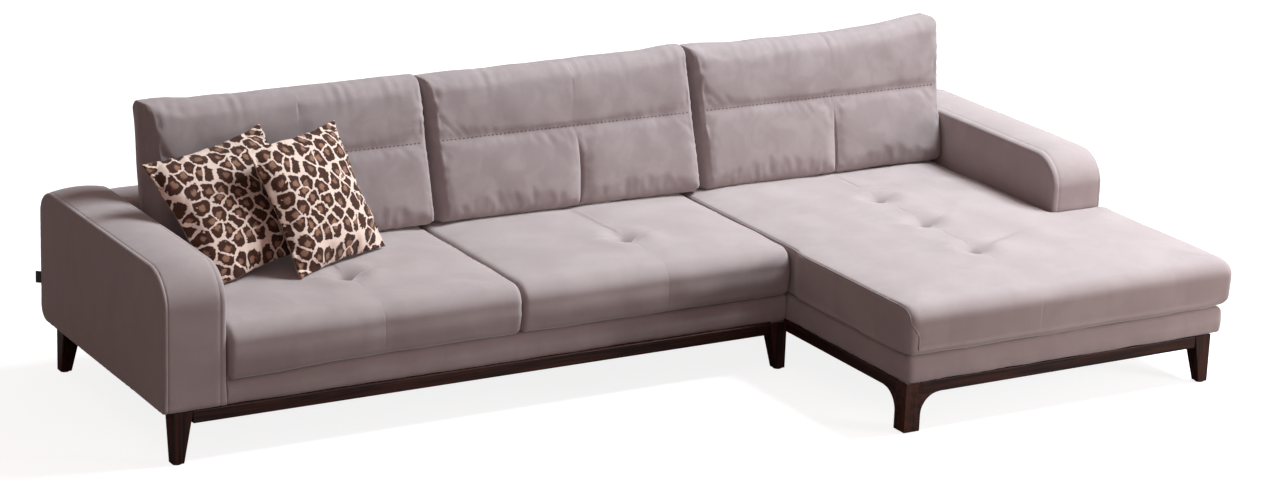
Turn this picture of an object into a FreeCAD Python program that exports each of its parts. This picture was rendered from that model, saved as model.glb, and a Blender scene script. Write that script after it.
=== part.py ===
"""Corner sofa: a two-seat section with the left arm, joined to a chaise section with the right arm.

Millimetres. X runs to the sitter's left as seen from the front (the chaise end), the sofa
faces -Y and Z is up. The origin is on the floor, under the middle of the whole sofa's box.
Each padded piece is a solid of its filled shape, and the wooden frames lie inside them.
"""

import FreeCAD
import Part
import Sketcher
import math
import os
import re

V = FreeCAD.Vector

# Every size that can be set by itself: its name, its value and what it measures.
SIZES = [
    ("body_width", 3400, "outer face of one arm to outer face of the other"),
    ("sofa_width", 2157, "left arm's outer face to the end of the two-seat section"),
    ("module_gap", 2, "gap between the two sections"),
    ("chaise_reach", 675, "how far the chaise stands out in front of the arms"),
    ("underside", 162, "floor to the bottom of the upholstery"),
    ("arm_width", 204, "arm, outer face to inner face"),
    ("arm_depth", 1000, "arm, front to back"),
    ("arm_top", 600, "floor to the crown of the arm"),
    ("arm_crown", 14, "how far the arm's crown stands above its edges"),
    ("arm_front_round", 118, "roll of the arm's top into its front"),
    ("arm_back_round", 90, "roll of the arm's top into its back"),
    ("arm_heel_round", 50, "roll of the arm's back into its bottom"),
    ("arm_outer_round", 30, "padded edge on the arm's outer side"),
    ("arm_inner_round", 22, "padded edge on the arm's inner side"),
    ("cover_wall", 22, "foam and fabric over the arm and back frames"),
    ("panel_thick", 12, "plywood side of an arm frame"),
    ("spacer_thick", 40, "timber between the two sides of an arm frame"),
    ("band_height", 88, "upholstered band under the seat cushions"),
    ("band_thick", 30, "padding of the band, front to back"),
    ("band_round", 9, "long edges of a band"),
    ("band_corner", 20, "upright corners of the chaise's band"),
    ("board_thick", 25, "boards of the seat boxes and ribs of the backs"),
    ("back_board_height", 60, "rails that tie the ribs of a back"),
    ("strap_width", 60, "elastic strap"),
    ("strap_thick", 2, "elastic strap"),
    ("sofa_straps", 12, "straps under the two seats"),
    ("chaise_straps", 11, "straps across the chaise"),
    ("back_straps", 3, "straps in a back"),
    ("back_strap_pitch", 90, "from one strap of a back to the next"),
    ("deck_thick", 8, "felt between the straps and the seat cushions"),
    ("cloth_thick", 1.5, "cloth under the seat boxes"),
    ("back_depth", 212, "foot of the backs' front faces to the back of the arms"),
    ("back_lean", 13.5, "lean of the backs and of the loose cushions, in degrees"),
    ("back_top", 565, "floor to the top of the backs behind the cushions"),
    ("back_round", 36, "upper edges of the backs"),
    ("sofa_ribs", 4, "ribs in the back of the two-seat section"),
    ("chaise_ribs", 3, "ribs in the back of the chaise section"),
    ("seat_thick", 157, "seat cushion at its edges"),
    ("seat_crown", 18, "how far a seat cushion's middle stands above its edges"),
    ("seat_front_round", 55, "roll of a seat cushion's top into its front"),
    ("seat_side_round", 20, "side edges of a seat cushion"),
    ("seat_gap", 1.5, "between two seat cushions"),
    ("cushion_overhang", 12, "how far the seat cushions stand proud of the bands"),
    ("front_tuck", 8, "how far a cushion's lower front edge is drawn in"),
    ("seam_depth", 6, "depth of a sewn seam channel"),
    ("seam_width", 16, "half width of a sewn seam channel"),
    ("tuft_depth", 13, "depth of a sewn tuft"),
    ("tuft_radius", 42, "dimple round a sewn tuft"),
    ("tuft_setback", 270, "front of the arms to a seat's tuft"),
    ("chaise_tuft_setback", 320, "front of the arms to the chaise's rear tuft"),
    ("chaise_tuft_pitch", 300, "from one tuft of the chaise to the next"),
    ("loose_gap", 2, "room beside each loose back cushion"),
    ("left_room", 40, "further room between the left arm and its back cushion"),
    ("soft_gap", 0.6, "between a loose cushion and what it lies against"),
    ("back_cushion_thick", 200, "back cushion at its foot"),
    ("back_cushion_top_thick", 114, "back cushion at its top"),
    ("back_cushion_top", 877, "floor to the top front seam at the cushion's middle"),
    ("back_cushion_crest", 12, "how far the top stands above its front seam"),
    ("back_cushion_bulge", 16, "filling of the front face"),
    ("back_cushion_side_round", 26, "side edges of a back cushion"),
    ("corner_rise", 7, "how far a back cushion's top corners stand above its middle"),
    ("stitch_height", 685, "floor to the stitched line across a back cushion"),
    ("pillow_side", 430, "scatter pillow, corner to corner along a side"),
    ("pillow_half", 58, "half the thickness of a scatter pillow's middle"),
    ("pillow_edge", 3, "half the thickness of a scatter pillow's edge"),
    ("pillow_draw", 14, "how far a pillow's sides pull in between the corners"),
    ("rear_turn", 12.3, "rear pillow's turn from facing straight ahead, in degrees"),
    ("rear_lean", 39.4, "rear pillow's lean backwards, in degrees"),
    ("rear_twist", 8.4, "rear pillow's twist in its own plane, in degrees"),
    ("front_turn", 26.3, "front pillow's turn from facing straight ahead, in degrees"),
    ("front_lean", 29.9, "front pillow's lean backwards, in degrees"),
    ("front_twist", 0.2, "front pillow's twist in its own plane, in degrees"),
    ("front_shift", 238, "rear pillow's middle to the front one's, across the seat"),
    ("leg_top_side", 64, "tapered leg at its top"),
    ("leg_foot_side", 36, "tapered leg at its foot"),
    ("leg_edge_ease", 2, "planed edges of the tapered legs"),
    ("rail_edge_round", 2, "rounded edges of the rails"),
    ("back_leg_inset", 62, "back face to the back legs"),
    ("left_leg_inset", 30, "left face to the left legs"),
    ("right_leg_inset", 48, "right face to the right legs"),
    ("corner_post", 57, "straight corner leg of the chaise"),
    ("bracket_round", 68, "curved brackets of the corner leg"),
    ("rail_height", 38, "wooden rails under the bands"),
    ("rail_thick", 25, "wooden rails, front to back"),
    ("rail_tail", 60, "how far the chaise's side rail runs back beyond the arms' front"),
    ("glide_height", 4, "pad under a leg"),
    ("glide_radius", 14, "pad under a leg"),
    ("plate_side", 50, "steel plate on top of a leg"),
    ("plate_thick", 3, "steel plates"),
    ("bolt_radius", 4, "shank of every bolt"),
    ("bolt_gap", 0.2, "room round a bolt in its hole"),
    ("bolt_head_radius", 7, "head of a bolt"),
    ("bolt_head_height", 4, "head of a bolt"),
    ("leg_bolt_length", 40, "bolt in the top of a leg"),
    ("connector_bolt_depth", 30, "how far a connector's bolt goes into a board"),
    ("connector_width", 40, "connector plate, front to back"),
    ("connector_first", 200, "front of the arms to the first connector"),
    ("connector_pitch", 450, "from one connector to the next"),
    ("connector_count", 2, "connectors between the two sections"),
    ("arm_bolt_level", 215, "floor to the bolts that hold an arm"),
    ("arm_bolt_first", 150, "front of the arms to the first arm bolt"),
    ("arm_bolt_pitch", 260, "from one arm bolt to the next"),
    ("arm_bolt_count", 3, "bolts in each arm"),
    ("tab_height", 38, "plain tab in the left arm's back seam"),
    ("tab_out", 18, "how far the tab stands out"),
    ("tab_thick", 1.6, "the tab's cloth"),
    ("tab_level", 285, "floor to the tab's lower edge"),
]

# Places and sizes that follow from them.
DERIVED = {
    "left_face": "-(body_width + cushion_overhang) / 2",
    "right_face": "left_face + body_width",
    "arm_front": "(chaise_reach + cushion_overhang - arm_depth - tab_out) / 2",
    "back_face": "arm_front + arm_depth",
    "chaise_front": "arm_front - chaise_reach",
    "sofa_left": "left_face + arm_width",
    "sofa_right": "left_face + sofa_width",
    "chaise_left": "sofa_right + module_gap",
    "chaise_right": "right_face - arm_width",
    "chaise_inner": "chaise_left + band_thick",
    "board_height": "band_height - deck_thick - strap_thick",
    "board_top": "underside + board_height",
    "deck_top": "underside + band_height",
    "seat_edge": "deck_top + seat_thick",
    "back_foot": "arm_front + back_setback",
    "rail_bottom": "underside - rail_height",
    "back_height": "back_top - underside",
    "back_setback": "arm_depth - back_depth",
    "wall_slant": "cover_wall / cos(back_lean)",
    "rib_front": "(cover_wall + strap_thick) / cos(back_lean)",
    "rib_back": "back_depth - cover_wall - board_thick",
    "frame_top": "arm_top - arm_crown - cover_wall",
    "spacer_start": "cover_wall + panel_thick",
    "spacer_length": "arm_width - 2 * cover_wall - 2 * panel_thick",
    "back_leg_line": "back_face - back_leg_inset",
    "left_leg_line": "left_face + left_leg_inset",
    "right_leg_line": "right_face - right_leg_inset",
    "leg_height": "underside - glide_height",
    "bolt_hole": "bolt_radius + bolt_gap",
}

ROUND_STEPS = (0, 30, 60, 90)
LEAN_STEPS = 8
FOOT_STEPS = 8
# Across a seat cushion: share of its width, and share of the full crown there.
SEAT_CROWN = ((0.2, 0.9), (0.35, 1), (0.65, 1), (0.8, 0.9))
SEAT_CROWN_AT_SIDES = 0.5

doc = FreeCAD.newDocument("CornerSofa")
sheet = doc.addObject("Spreadsheet::Sheet", "Sizes")
for row, (alias, number, meaning) in enumerate(SIZES, start=1):
    sheet.set(f"A{row}", alias)
    sheet.set(f"B{row}", str(number))
    sheet.set(f"C{row}", meaning)
    sheet.setAlias(f"B{row}", alias)
doc.recompute()

ALIASES = {alias for alias, number, meaning in SIZES}
subparts = []


def tied(formula):
    """Turn a formula of named sizes and places into one that the document's objects can hold."""
    def spell(word):
        name = word.group(0)
        if name in DERIVED:
            return "(" + tied(DERIVED[name]) + ")"
        return "Sizes." + name if name in ALIASES else name
    return re.sub(r"[a-z][a-z_]*", spell, formula)


def size(formula):
    """The number that a formula of named sizes gives now."""
    return float(sheet.evalExpression(tied(formula)))


def place(piece, corner, turn=None):
    """Tie a piece's position to formulas, with an optional (axis, angle formula) turn."""
    if turn:
        axis, angle = turn
        piece.Placement = FreeCAD.Placement(V(0, 0, 0), FreeCAD.Rotation(axis, size(angle)))
        piece.setExpression("Placement.Rotation.Angle", tied(angle))
    for letter, formula in zip("xyz", corner):
        piece.setExpression(f"Placement.Base.{letter}", tied(formula))
    return piece


def keep(piece):
    """Hand a piece in as a sub-part."""
    subparts.append(piece)
    return piece


def box(name, corner, extent, turn=None):
    """A square-edged board, strap or sheet, from formulas for its corner and its extent."""
    piece = doc.addObject("Part::Box", name)
    for side, formula in zip(("Length", "Width", "Height"), extent):
        piece.setExpression(side, tied(formula))
    return place(piece, corner, turn)


def rod(name, start, radius, length, turn=None):
    """A round bolt, pad or drill that stands along +Z unless it is turned."""
    piece = doc.addObject("Part::Cylinder", name)
    piece.setExpression("Radius", tied(radius))
    piece.setExpression("Height", tied(length))
    return place(piece, start, turn)


def group(name, pieces):
    """Identical separate pieces that share one name."""
    compound = doc.addObject("Part::Compound", name)
    compound.Links = pieces
    return compound


def drilled(name, piece, drills):
    """A piece with holes."""
    cut = doc.addObject("Part::Cut", name)
    cut.Base = piece
    cut.Tool = drills[0] if len(drills) == 1 else group(name + "_drills", drills)
    return cut


def origin_plane(body, role):
    """One of a body's own origin planes."""
    return next(plane for plane in body.Origin.OriginFeatures if plane.Role == role)


def outline(body, role, points, level=None):
    """A closed sketch of straight sides whose every corner is tied to two formulas."""
    sketch = body.newObject("Sketcher::SketchObject", body.Name + "_outline")
    sketch.AttachmentSupport = [(origin_plane(body, role), "")]
    sketch.MapMode = "FlatFace"
    if level:
        sketch.setExpression("AttachmentOffset.Base.z", tied(level))
    corners = [V(size(across), size(up), 0) for across, up in points]
    for index, corner in enumerate(corners):
        following = corners[(index + 1) % len(corners)]
        sketch.addGeometry(Part.LineSegment(corner, following), False)
    for index, (across, up) in enumerate(points):
        sketch.addConstraint(Sketcher.Constraint("Coincident", index, 2, (index + 1) % len(points), 1))
        for kind, formula in (("DistanceX", across), ("DistanceY", up)):
            tie = sketch.addConstraint(Sketcher.Constraint(kind, -1, 1, index, 1, size(formula)))
            sketch.setExpression(f"Constraints[{tie}]", tied(formula))
    return sketch


def circle_outline(body, centre, radius, level):
    """A circle sketched across a body at a height of its own."""
    sketch = body.newObject("Sketcher::SketchObject", body.Name + "_circle")
    sketch.AttachmentSupport = [(origin_plane(body, "XY_Plane"), "")]
    sketch.MapMode = "FlatFace"
    sketch.setExpression("AttachmentOffset.Base.z", tied(level))
    sketch.addGeometry(Part.Circle(V(size(centre), size(centre), 0), V(0, 0, 1), size(radius)), False)
    for kind, formula in (("DistanceX", centre), ("DistanceY", centre)):
        tie = sketch.addConstraint(Sketcher.Constraint(kind, -1, 1, 0, 3, size(formula)))
        sketch.setExpression(f"Constraints[{tie}]", tied(formula))
    tie = sketch.addConstraint(Sketcher.Constraint("Radius", 0, size(radius)))
    sketch.setExpression(f"Constraints[{tie}]", tied(radius))
    return sketch


def pad(body, sketch, length):
    """Raise a sketch into a solid."""
    feature = body.newObject("PartDesign::Pad", body.Name + "_pad")
    feature.Profile = sketch
    feature.setExpression("Length", tied(length))
    doc.recompute()
    return feature


def pocket(body, sketch, depth):
    """Sink a sketch into a body, against the sketch's normal."""
    feature = body.newObject("PartDesign::Pocket", body.Name + "_pocket")
    feature.Profile = sketch
    feature.setExpression("Length", tied(depth))
    doc.recompute()
    return feature


def runs_along(edge, axis):
    """Whether an edge is straight and parallel to an axis."""
    ends = [vertex.Point for vertex in edge.Vertexes]
    return len(ends) == 2 and (ends[1] - ends[0]).cross(axis).Length < 1e-6


def round_edges(body, feature, radius, wanted):
    """Fillet the edges of a body that a test picks, by a radius formula."""
    names = [f"Edge{index + 1}" for index, edge in enumerate(feature.Shape.Edges) if wanted(edge)]
    fillet = body.newObject("PartDesign::Fillet", body.Name + "_fillet")
    fillet.Base = (feature, names)
    fillet.setExpression("Radius", tied(radius))
    doc.recompute()
    return fillet


def eased_board(name, corner, extent):
    """A planed board with eased edges."""
    body = doc.addObject("PartDesign::Body", name)
    length, width, height = extent
    sketch = outline(body, "XY_Plane", [("0", "0"), (length, "0"), (length, width), ("0", width)])
    solid = pad(body, sketch, height)
    round_edges(body, solid, "rail_edge_round", lambda edge: True)
    return place(body, corner)


def arc(start, middle, end):
    """An arc through three points."""
    return Part.Arc(V(*start), V(*middle), V(*end)).toShape()


def line(start, end):
    """A straight edge."""
    return Part.makeLine(V(*start), V(*end))


def loft(sections):
    """A closed solid through a row of closed sections."""
    return Part.makeLoft([Part.Wire(section) for section in sections], True, True)


def feature(name, shape, pose=None):
    """A padded piece whose shape is worked out in code, set down at a pose of its own if it has one."""
    piece = doc.addObject("Part::Feature", name)
    piece.Shape = shape
    piece.Placement = pose or FreeCAD.Placement(V(0, 0, 0), FreeCAD.Rotation())
    return piece


def rounded_stations(width, radius):
    """Distances from one side across a padded edge, each with how far the face is drawn in there."""
    steps = []
    for angle in ROUND_STEPS:
        turn = math.radians(angle)
        steps.append((radius * (1 - math.cos(turn)), radius * (1 - math.sin(turn))))
    mirrored = [(width - across, inset) for across, inset in reversed(steps)]
    return steps, mirrored


# Seat boxes: timber boards, elastic straps, felt, and the padded bands round them.

def seat_boards():
    """The boards of both seat boxes, drilled for the arm bolts and the connectors."""
    box_front = "arm_front + band_thick"
    keep(box("sofa_front_board", ("sofa_left", box_front, "underside"),
             ("sofa_right - sofa_left", "board_thick", "board_height")))
    keep(box("sofa_back_board", ("sofa_left", "back_foot - board_thick", "underside"),
             ("sofa_right - sofa_left", "board_thick", "board_height")))
    cross_extent = ("board_thick", "back_setback - band_thick - 2 * board_thick", "board_height")
    cross_front = box_front + " + board_thick"
    left = box("sofa_left_cross", ("sofa_left", cross_front, "underside"), cross_extent)
    middle = box("sofa_middle_cross", ("(sofa_left + sofa_right - board_thick) / 2", cross_front, "underside"),
                 cross_extent)
    right = box("sofa_right_cross", ("sofa_right - board_thick", cross_front, "underside"), cross_extent)
    left = drilled("sofa_left_cross_drilled", left, arm_drills("left", "sofa_left_cross"))
    right = drilled("sofa_right_cross_drilled", right, connector_drills("sofa", "sofa_right - board_thick / 2"))
    keep(group("sofa_cross_boards", [left, middle, right]))

    keep(box("chaise_front_board", ("chaise_inner", "chaise_front + band_thick", "underside"),
             ("right_face - band_thick - chaise_inner", "board_thick", "board_height")))
    keep(box("chaise_back_board", ("chaise_inner", "back_foot - board_thick", "underside"),
             ("chaise_right - chaise_inner", "board_thick", "board_height")))
    side_front = "chaise_front + band_thick + board_thick"
    long_side = box("chaise_long_side", ("chaise_inner", side_front, "underside"),
                    ("board_thick", f"back_foot - board_thick - ({side_front})", "board_height"))
    long_side = drilled("chaise_long_side_drilled", long_side,
                        connector_drills("chaise", "chaise_inner + board_thick / 2"))
    short_side = box("chaise_short_side", ("right_face - band_thick - board_thick", side_front, "underside"),
                     ("board_thick", f"arm_front - board_thick - ({side_front})", "board_height"))
    arm_side = box("chaise_arm_side", ("chaise_right - board_thick", "arm_front", "underside"),
                   ("board_thick", "back_setback - board_thick", "board_height"))
    arm_side = drilled("chaise_arm_side_drilled", arm_side, arm_drills("right", "chaise_arm_side"))
    keep(group("chaise_side_boards", [long_side, short_side, arm_side]))
    keep(box("chaise_cross_board", ("chaise_inner + board_thick", "arm_front - board_thick", "underside"),
             ("right_face - band_thick - chaise_inner - board_thick", "board_thick", "board_height")))


def seat_straps():
    """Elastic straps: front to back under the two seats, side to side across the chaise."""
    straps = []
    for index in range(int(size("sofa_straps"))):
        across = f"sofa_left + (sofa_right - sofa_left) * {index + 0.5} / sofa_straps - strap_width / 2"
        straps.append(box(f"sofa_strap_{index}", (across, "arm_front + band_thick", "board_top"),
                          ("strap_width", "back_setback - band_thick", "strap_thick")))
    keep(group("sofa_webbing", straps))
    straps = []
    for index in range(int(size("chaise_straps"))):
        start = "(chaise_front + band_thick)"
        along = f"{start} + (back_foot - {start}) * {index + 0.5} / chaise_straps - strap_width / 2"
        beside_arm = size(along + " + strap_width") > size("arm_front")
        end = "chaise_right" if beside_arm else "right_face - band_thick"
        straps.append(box(f"chaise_strap_{index}", ("chaise_inner", along, "board_top"),
                          (end + " - chaise_inner", "strap_width", "strap_thick")))
    keep(group("chaise_webbing", straps))


def seat_decks():
    """Felt pads on the straps, and the cloth that closes each box from below."""
    keep(box("sofa_deck", ("sofa_left", "arm_front + band_thick", "deck_top - deck_thick"),
             ("sofa_right - sofa_left", "back_setback - band_thick", "deck_thick")))
    body = doc.addObject("PartDesign::Body", "chaise_deck")
    wide = "right_face - band_thick - chaise_inner"
    narrow = "chaise_right - chaise_inner"
    step = "chaise_reach - band_thick"
    full = "chaise_reach - band_thick + back_setback"
    corners = [("0", "0"), (wide, "0"), (wide, step), (narrow, step), (narrow, full), ("0", full)]
    pad(body, outline(body, "XY_Plane", corners), "deck_thick")
    keep(place(body, ("chaise_inner", "chaise_front + band_thick", "deck_top - deck_thick")))

    leg_room = "leg_top_side + 4 * cloth_thick"
    cloth_back = f"back_leg_line - ({leg_room})"
    cloth_level = "underside - cloth_thick"
    keep(box("sofa_dust_cover", ("left_face + band_thick", f"arm_front + {leg_room}", cloth_level),
             ("sofa_width - 2 * band_thick - board_thick", f"{cloth_back} - arm_front - ({leg_room})",
              "cloth_thick")))
    keep(box("chaise_dust_cover",
             ("chaise_inner + board_thick + band_thick", f"chaise_front + {leg_room}", cloth_level),
             ("right_face - chaise_inner - board_thick - 2 * band_thick",
              f"{cloth_back} - chaise_front - ({leg_room})", "cloth_thick")))


def band(name, corner, length, along_x, upright_corners=False):
    """A padded band with rounded long edges on its outer side, along X or turned along Y."""
    body = doc.addObject("PartDesign::Body", name)
    points = [("0", "0"), ("band_thick", "0"), ("band_thick", "band_height"), ("0", "band_height")]
    padded = pad(body, outline(body, "YZ_Plane", points), length)

    def outer(edge):
        return all(abs(vertex.Point.y) < 1e-6 for vertex in edge.Vertexes)

    if upright_corners:
        padded = round_edges(body, padded, "band_corner", lambda edge: outer(edge) and runs_along(edge, V(0, 0, 1)))
        top = size("band_height")
        round_edges(body, padded, "band_round",
                    lambda edge: abs(edge.CenterOfMass.z % top) < 1e-6 and edge.CenterOfMass.y < 1)
    else:
        round_edges(body, padded, "band_round", lambda edge: outer(edge) and runs_along(edge, V(1, 0, 0)))
    turn = {"x": None, "left": (V(0, 0, 1), "-90"), "right": (V(0, 0, 1), "90")}[along_x]
    return keep(place(body, corner, turn))


def bands():
    """The bands of both sections, under the seat cushions."""
    band("sofa_front_band", ("sofa_left", "arm_front", "underside"), "sofa_right - sofa_left", "x")
    band("chaise_band_front", ("chaise_left", "chaise_front", "underside"), "right_face - chaise_left", "x",
         upright_corners=True)
    band("chaise_band_left", ("chaise_left", "back_foot", "underside"),
         "back_foot - chaise_front - band_thick", "left")
    band("chaise_band_right", ("right_face", "chaise_front + band_thick", "underside"),
         "chaise_reach - band_thick", "right")


# Backs: ribs tied by two rails, straps over the ribs' leaning fronts, and a padded cover.

def back(section, left, right):
    """One section's back, between the x formulas left and right."""
    length = f"{right} - ({left})"
    lean_rise = "tan(back_lean)"
    cover = doc.addObject("PartDesign::Body", section + "_back_cover")
    inner_top = "back_height - cover_wall"
    points = [
        ("0", "0"),
        ("0", "band_height"),
        (f"(back_height - band_height) * {lean_rise}", "back_height"),
        ("back_depth", "back_height"),
        ("back_depth", "0"),
        ("back_depth - cover_wall", "0"),
        ("back_depth - cover_wall", inner_top),
        (f"wall_slant + ({inner_top} - band_height) * {lean_rise}", inner_top),
        ("wall_slant", "band_height"),
        ("wall_slant", "0"),
    ]
    padded = pad(cover, outline(cover, "YZ_Plane", points), length)
    top = size("back_height")
    round_edges(cover, padded, "back_round",
                lambda edge: runs_along(edge, V(1, 0, 0)) and abs(edge.CenterOfMass.z - top) < 1e-6)
    keep(place(cover, (left, "back_foot", "underside")))

    made = []
    ribs = int(size(section + "_ribs"))
    for index in range(ribs):
        rib = doc.addObject("PartDesign::Body", f"{section}_rib_{index}")
        points = [
            ("rib_front", "0"),
            ("rib_back", "0"),
            ("rib_back", inner_top),
            (f"rib_front + ({inner_top} - band_height) * {lean_rise}", inner_top),
            ("rib_front", "band_height"),
        ]
        pad(rib, outline(rib, "YZ_Plane", points), "board_thick")
        across = f"{left} + ({length} - board_thick) * {index} / {ribs - 1}"
        made.append(place(rib, (across, "back_foot", "underside")))
    keep(group(section + "_back_ribs", made))

    rail_extent = (length, "board_thick", "back_board_height")
    rail_line = "back_foot + rib_back"
    low = box(section + "_back_low_rail", (left, rail_line, "underside"), rail_extent)
    high_level = f"underside + {inner_top} - back_board_height"
    high = box(section + "_back_high_rail", (left, rail_line, high_level), rail_extent)
    keep(group(section + "_back_rails", [low, high]))

    straps = []
    for index in range(int(size("back_straps"))):
        rise = f"band_thick + back_strap_pitch * {index}"
        corner = (left, f"back_foot + wall_slant + ({rise}) * {lean_rise}", f"deck_top + {rise}")
        straps.append(box(f"{section}_back_strap_{index}", corner, (length, "strap_thick", "strap_width"),
                          turn=(V(1, 0, 0), "-back_lean")))
    keep(group(section + "_back_webbing", straps))


# Arms: two plywood sides with timber between them, inside a padded cover.

def arm_profile(across, inset, drop):
    """The arm's side outline at one x, drawn in all round and lowered at its top."""
    front = size("arm_front") + inset
    rear = size("back_face") - inset
    low = size("underside")
    high = size("arm_top") - drop - inset
    front_roll = size("arm_front_round") - inset
    back_roll = size("arm_back_round") - inset
    heel = size("arm_heel_round") - inset
    corner = math.sqrt(0.5)
    heel_centre = (rear - heel, low + heel)
    back_centre = (rear - back_roll, high - back_roll)
    front_centre = (front + front_roll, high - front_roll)
    heel_middle = (across, heel_centre[0] + heel * corner, heel_centre[1] - heel * corner)
    back_middle = (across, back_centre[0] + back_roll * corner, back_centre[1] + back_roll * corner)
    front_middle = (across, front_centre[0] - front_roll * corner, front_centre[1] + front_roll * corner)
    return [
        line((across, front, low), (across, heel_centre[0], low)),
        arc((across, heel_centre[0], low), heel_middle, (across, rear, heel_centre[1])),
        line((across, rear, heel_centre[1]), (across, rear, back_centre[1])),
        arc((across, rear, back_centre[1]), back_middle, (across, back_centre[0], high)),
        line((across, back_centre[0], high), (across, front_centre[0], high)),
        arc((across, front_centre[0], high), front_middle, (across, front, front_centre[1])),
        line((across, front, front_centre[1]), (across, front, low)),
    ]


def arm_cover(side):
    """The padded cover of an arm: crowned across its top, open below and hollow for its frame."""
    outer_face = size("left_face") if side == "left" else size("right_face")
    inward = 1 if side == "left" else -1
    width = size("arm_width")
    crown = size("arm_crown")
    outer_steps = rounded_stations(width, size("arm_outer_round"))[0]
    inner_steps = rounded_stations(width, size("arm_inner_round"))[1]
    sections = [arm_profile(outer_face + inward * across, inset, crown) for across, inset in outer_steps]
    for share in (0.25, 0.5, 0.75):
        drop = crown * (2 * share - 1) ** 2
        sections.append(arm_profile(outer_face + inward * width * share, 0, drop))
    sections += [arm_profile(outer_face + inward * across, inset, crown) for across, inset in inner_steps]
    shape = loft(sections)
    wall = size("cover_wall")
    cavity = Part.Face(Part.Wire(arm_profile(outer_face + inward * wall, wall, crown)))
    shape = shape.cut(cavity.extrude(V(inward * (width - 2 * wall), 0, 0)))
    for depth in arm_bolt_places():
        start = V(outer_face + inward * (width - wall), size(depth), size("arm_bolt_level"))
        shape = shape.cut(Part.makeCylinder(size("bolt_hole"), wall, start, V(inward, 0, 0)))
    keep(feature(side + "_arm_cover", shape))


def arm_panel(name, across):
    """A plywood side of an arm frame, with the arm's own rounded outline."""
    body = doc.addObject("PartDesign::Body", name)
    length = "arm_depth - 2 * cover_wall"
    height = "frame_top - underside"
    points = [("0", "0"), (length, "0"), (length, height), ("0", height)]
    padded = pad(body, outline(body, "YZ_Plane", points), "panel_thick")
    top, rear = size(height), size(length)
    corners = (
        ("arm_front_round - cover_wall", 0, top),
        ("arm_back_round - cover_wall", rear, top),
        ("arm_heel_round - cover_wall", rear, 0),
    )
    for radius, along, up in corners:
        def at_corner(edge):
            centre = edge.CenterOfMass
            return runs_along(edge, V(1, 0, 0)) and abs(centre.y - along) < 1e-6 and abs(centre.z - up) < 1e-6
        padded = round_edges(body, padded, radius, at_corner)
    return place(body, (across, "arm_front + cover_wall", "underside"))


def arm_frame(side):
    """The two plywood sides of an arm and the four timbers between them."""
    if side == "left":
        outer, inner = "left_face + cover_wall", "sofa_left - cover_wall - panel_thick"
        between = "left_face + spacer_start"
    else:
        outer, inner = "right_face - cover_wall - panel_thick", "chaise_right + cover_wall"
        between = "chaise_right + spacer_start"
    keep(arm_panel(side + "_arm_outer_panel", outer))
    panel = arm_panel(side + "_arm_inner_blank", inner)
    keep(drilled(side + "_arm_inner_panel", panel, arm_drills(side, side + "_arm_inner")))
    front = "arm_front + cover_wall"
    post_foot = "underside + spacer_thick"
    post_extent = ("spacer_length", "spacer_thick", f"arm_top - arm_crown - arm_front_round - ({post_foot})")
    back_foot_level = "underside + arm_heel_round"
    back_extent = ("spacer_length", "spacer_thick", f"arm_top - arm_crown - arm_back_round - ({back_foot_level})")
    timbers = [
        box(side + "_arm_foot", (between, front, "underside"),
            ("spacer_length", "arm_depth - cover_wall - arm_heel_round", "spacer_thick")),
        box(side + "_arm_front_post", (between, front, post_foot), post_extent),
        box(side + "_arm_head", (between, "arm_front + arm_front_round", "frame_top - spacer_thick"),
            ("spacer_length", "arm_depth - arm_front_round - arm_back_round", "spacer_thick")),
        box(side + "_arm_back_post", (between, "back_face - cover_wall - spacer_thick", back_foot_level),
            back_extent),
    ]
    keep(group(side + "_arm_spacers", timbers))


def arm_bolt_places():
    """Depth formulas of the bolts along an arm."""
    count = int(size("arm_bolt_count"))
    return [f"arm_front + arm_bolt_first + arm_bolt_pitch * {station}" for station in range(count)]


def arm_drills(side, owner):
    """Holes for the arm bolts, long enough for whichever piece they cross."""
    start = "sofa_left - arm_width" if side == "left" else "chaise_right - arm_width"
    return [rod(f"{owner}_drill_{index}", (start, depth, "arm_bolt_level"), "bolt_hole", "2 * arm_width",
                turn=(V(0, 1, 0), "90"))
            for index, depth in enumerate(arm_bolt_places())]


def arm_bolts():
    """Bolts from inside the seat boxes through the arms' inner plywood sides."""
    bolts = []
    through = "board_thick + cover_wall + panel_thick + bolt_head_height"
    for index, depth in enumerate(arm_bolt_places()):
        start = ("sofa_left - cover_wall - panel_thick - bolt_head_height", depth, "arm_bolt_level")
        shank = rod(f"left_arm_shank_{index}", start, "bolt_radius", through, turn=(V(0, 1, 0), "90"))
        head = rod(f"left_arm_head_{index}", ("sofa_left + board_thick", depth, "arm_bolt_level"),
                   "bolt_head_radius", "bolt_head_height", turn=(V(0, 1, 0), "90"))
        bolts.append(fused(f"left_arm_bolt_{index}", [shank, head]))
        start = ("chaise_right - board_thick", depth, "arm_bolt_level")
        shank = rod(f"right_arm_shank_{index}", start, "bolt_radius", through, turn=(V(0, 1, 0), "90"))
        head_start = ("chaise_right - board_thick - bolt_head_height", depth, "arm_bolt_level")
        head = rod(f"right_arm_head_{index}", head_start, "bolt_head_radius", "bolt_head_height",
                   turn=(V(0, 1, 0), "90"))
        bolts.append(fused(f"right_arm_bolt_{index}", [shank, head]))
    keep(group("arm_bolts", bolts))


def fused(name, pieces):
    """One solid out of several that touch."""
    fuse = doc.addObject("Part::MultiFuse", name)
    fuse.Shapes = pieces
    return fuse


# Legs and rails of dark wood, and what fastens them.

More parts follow.
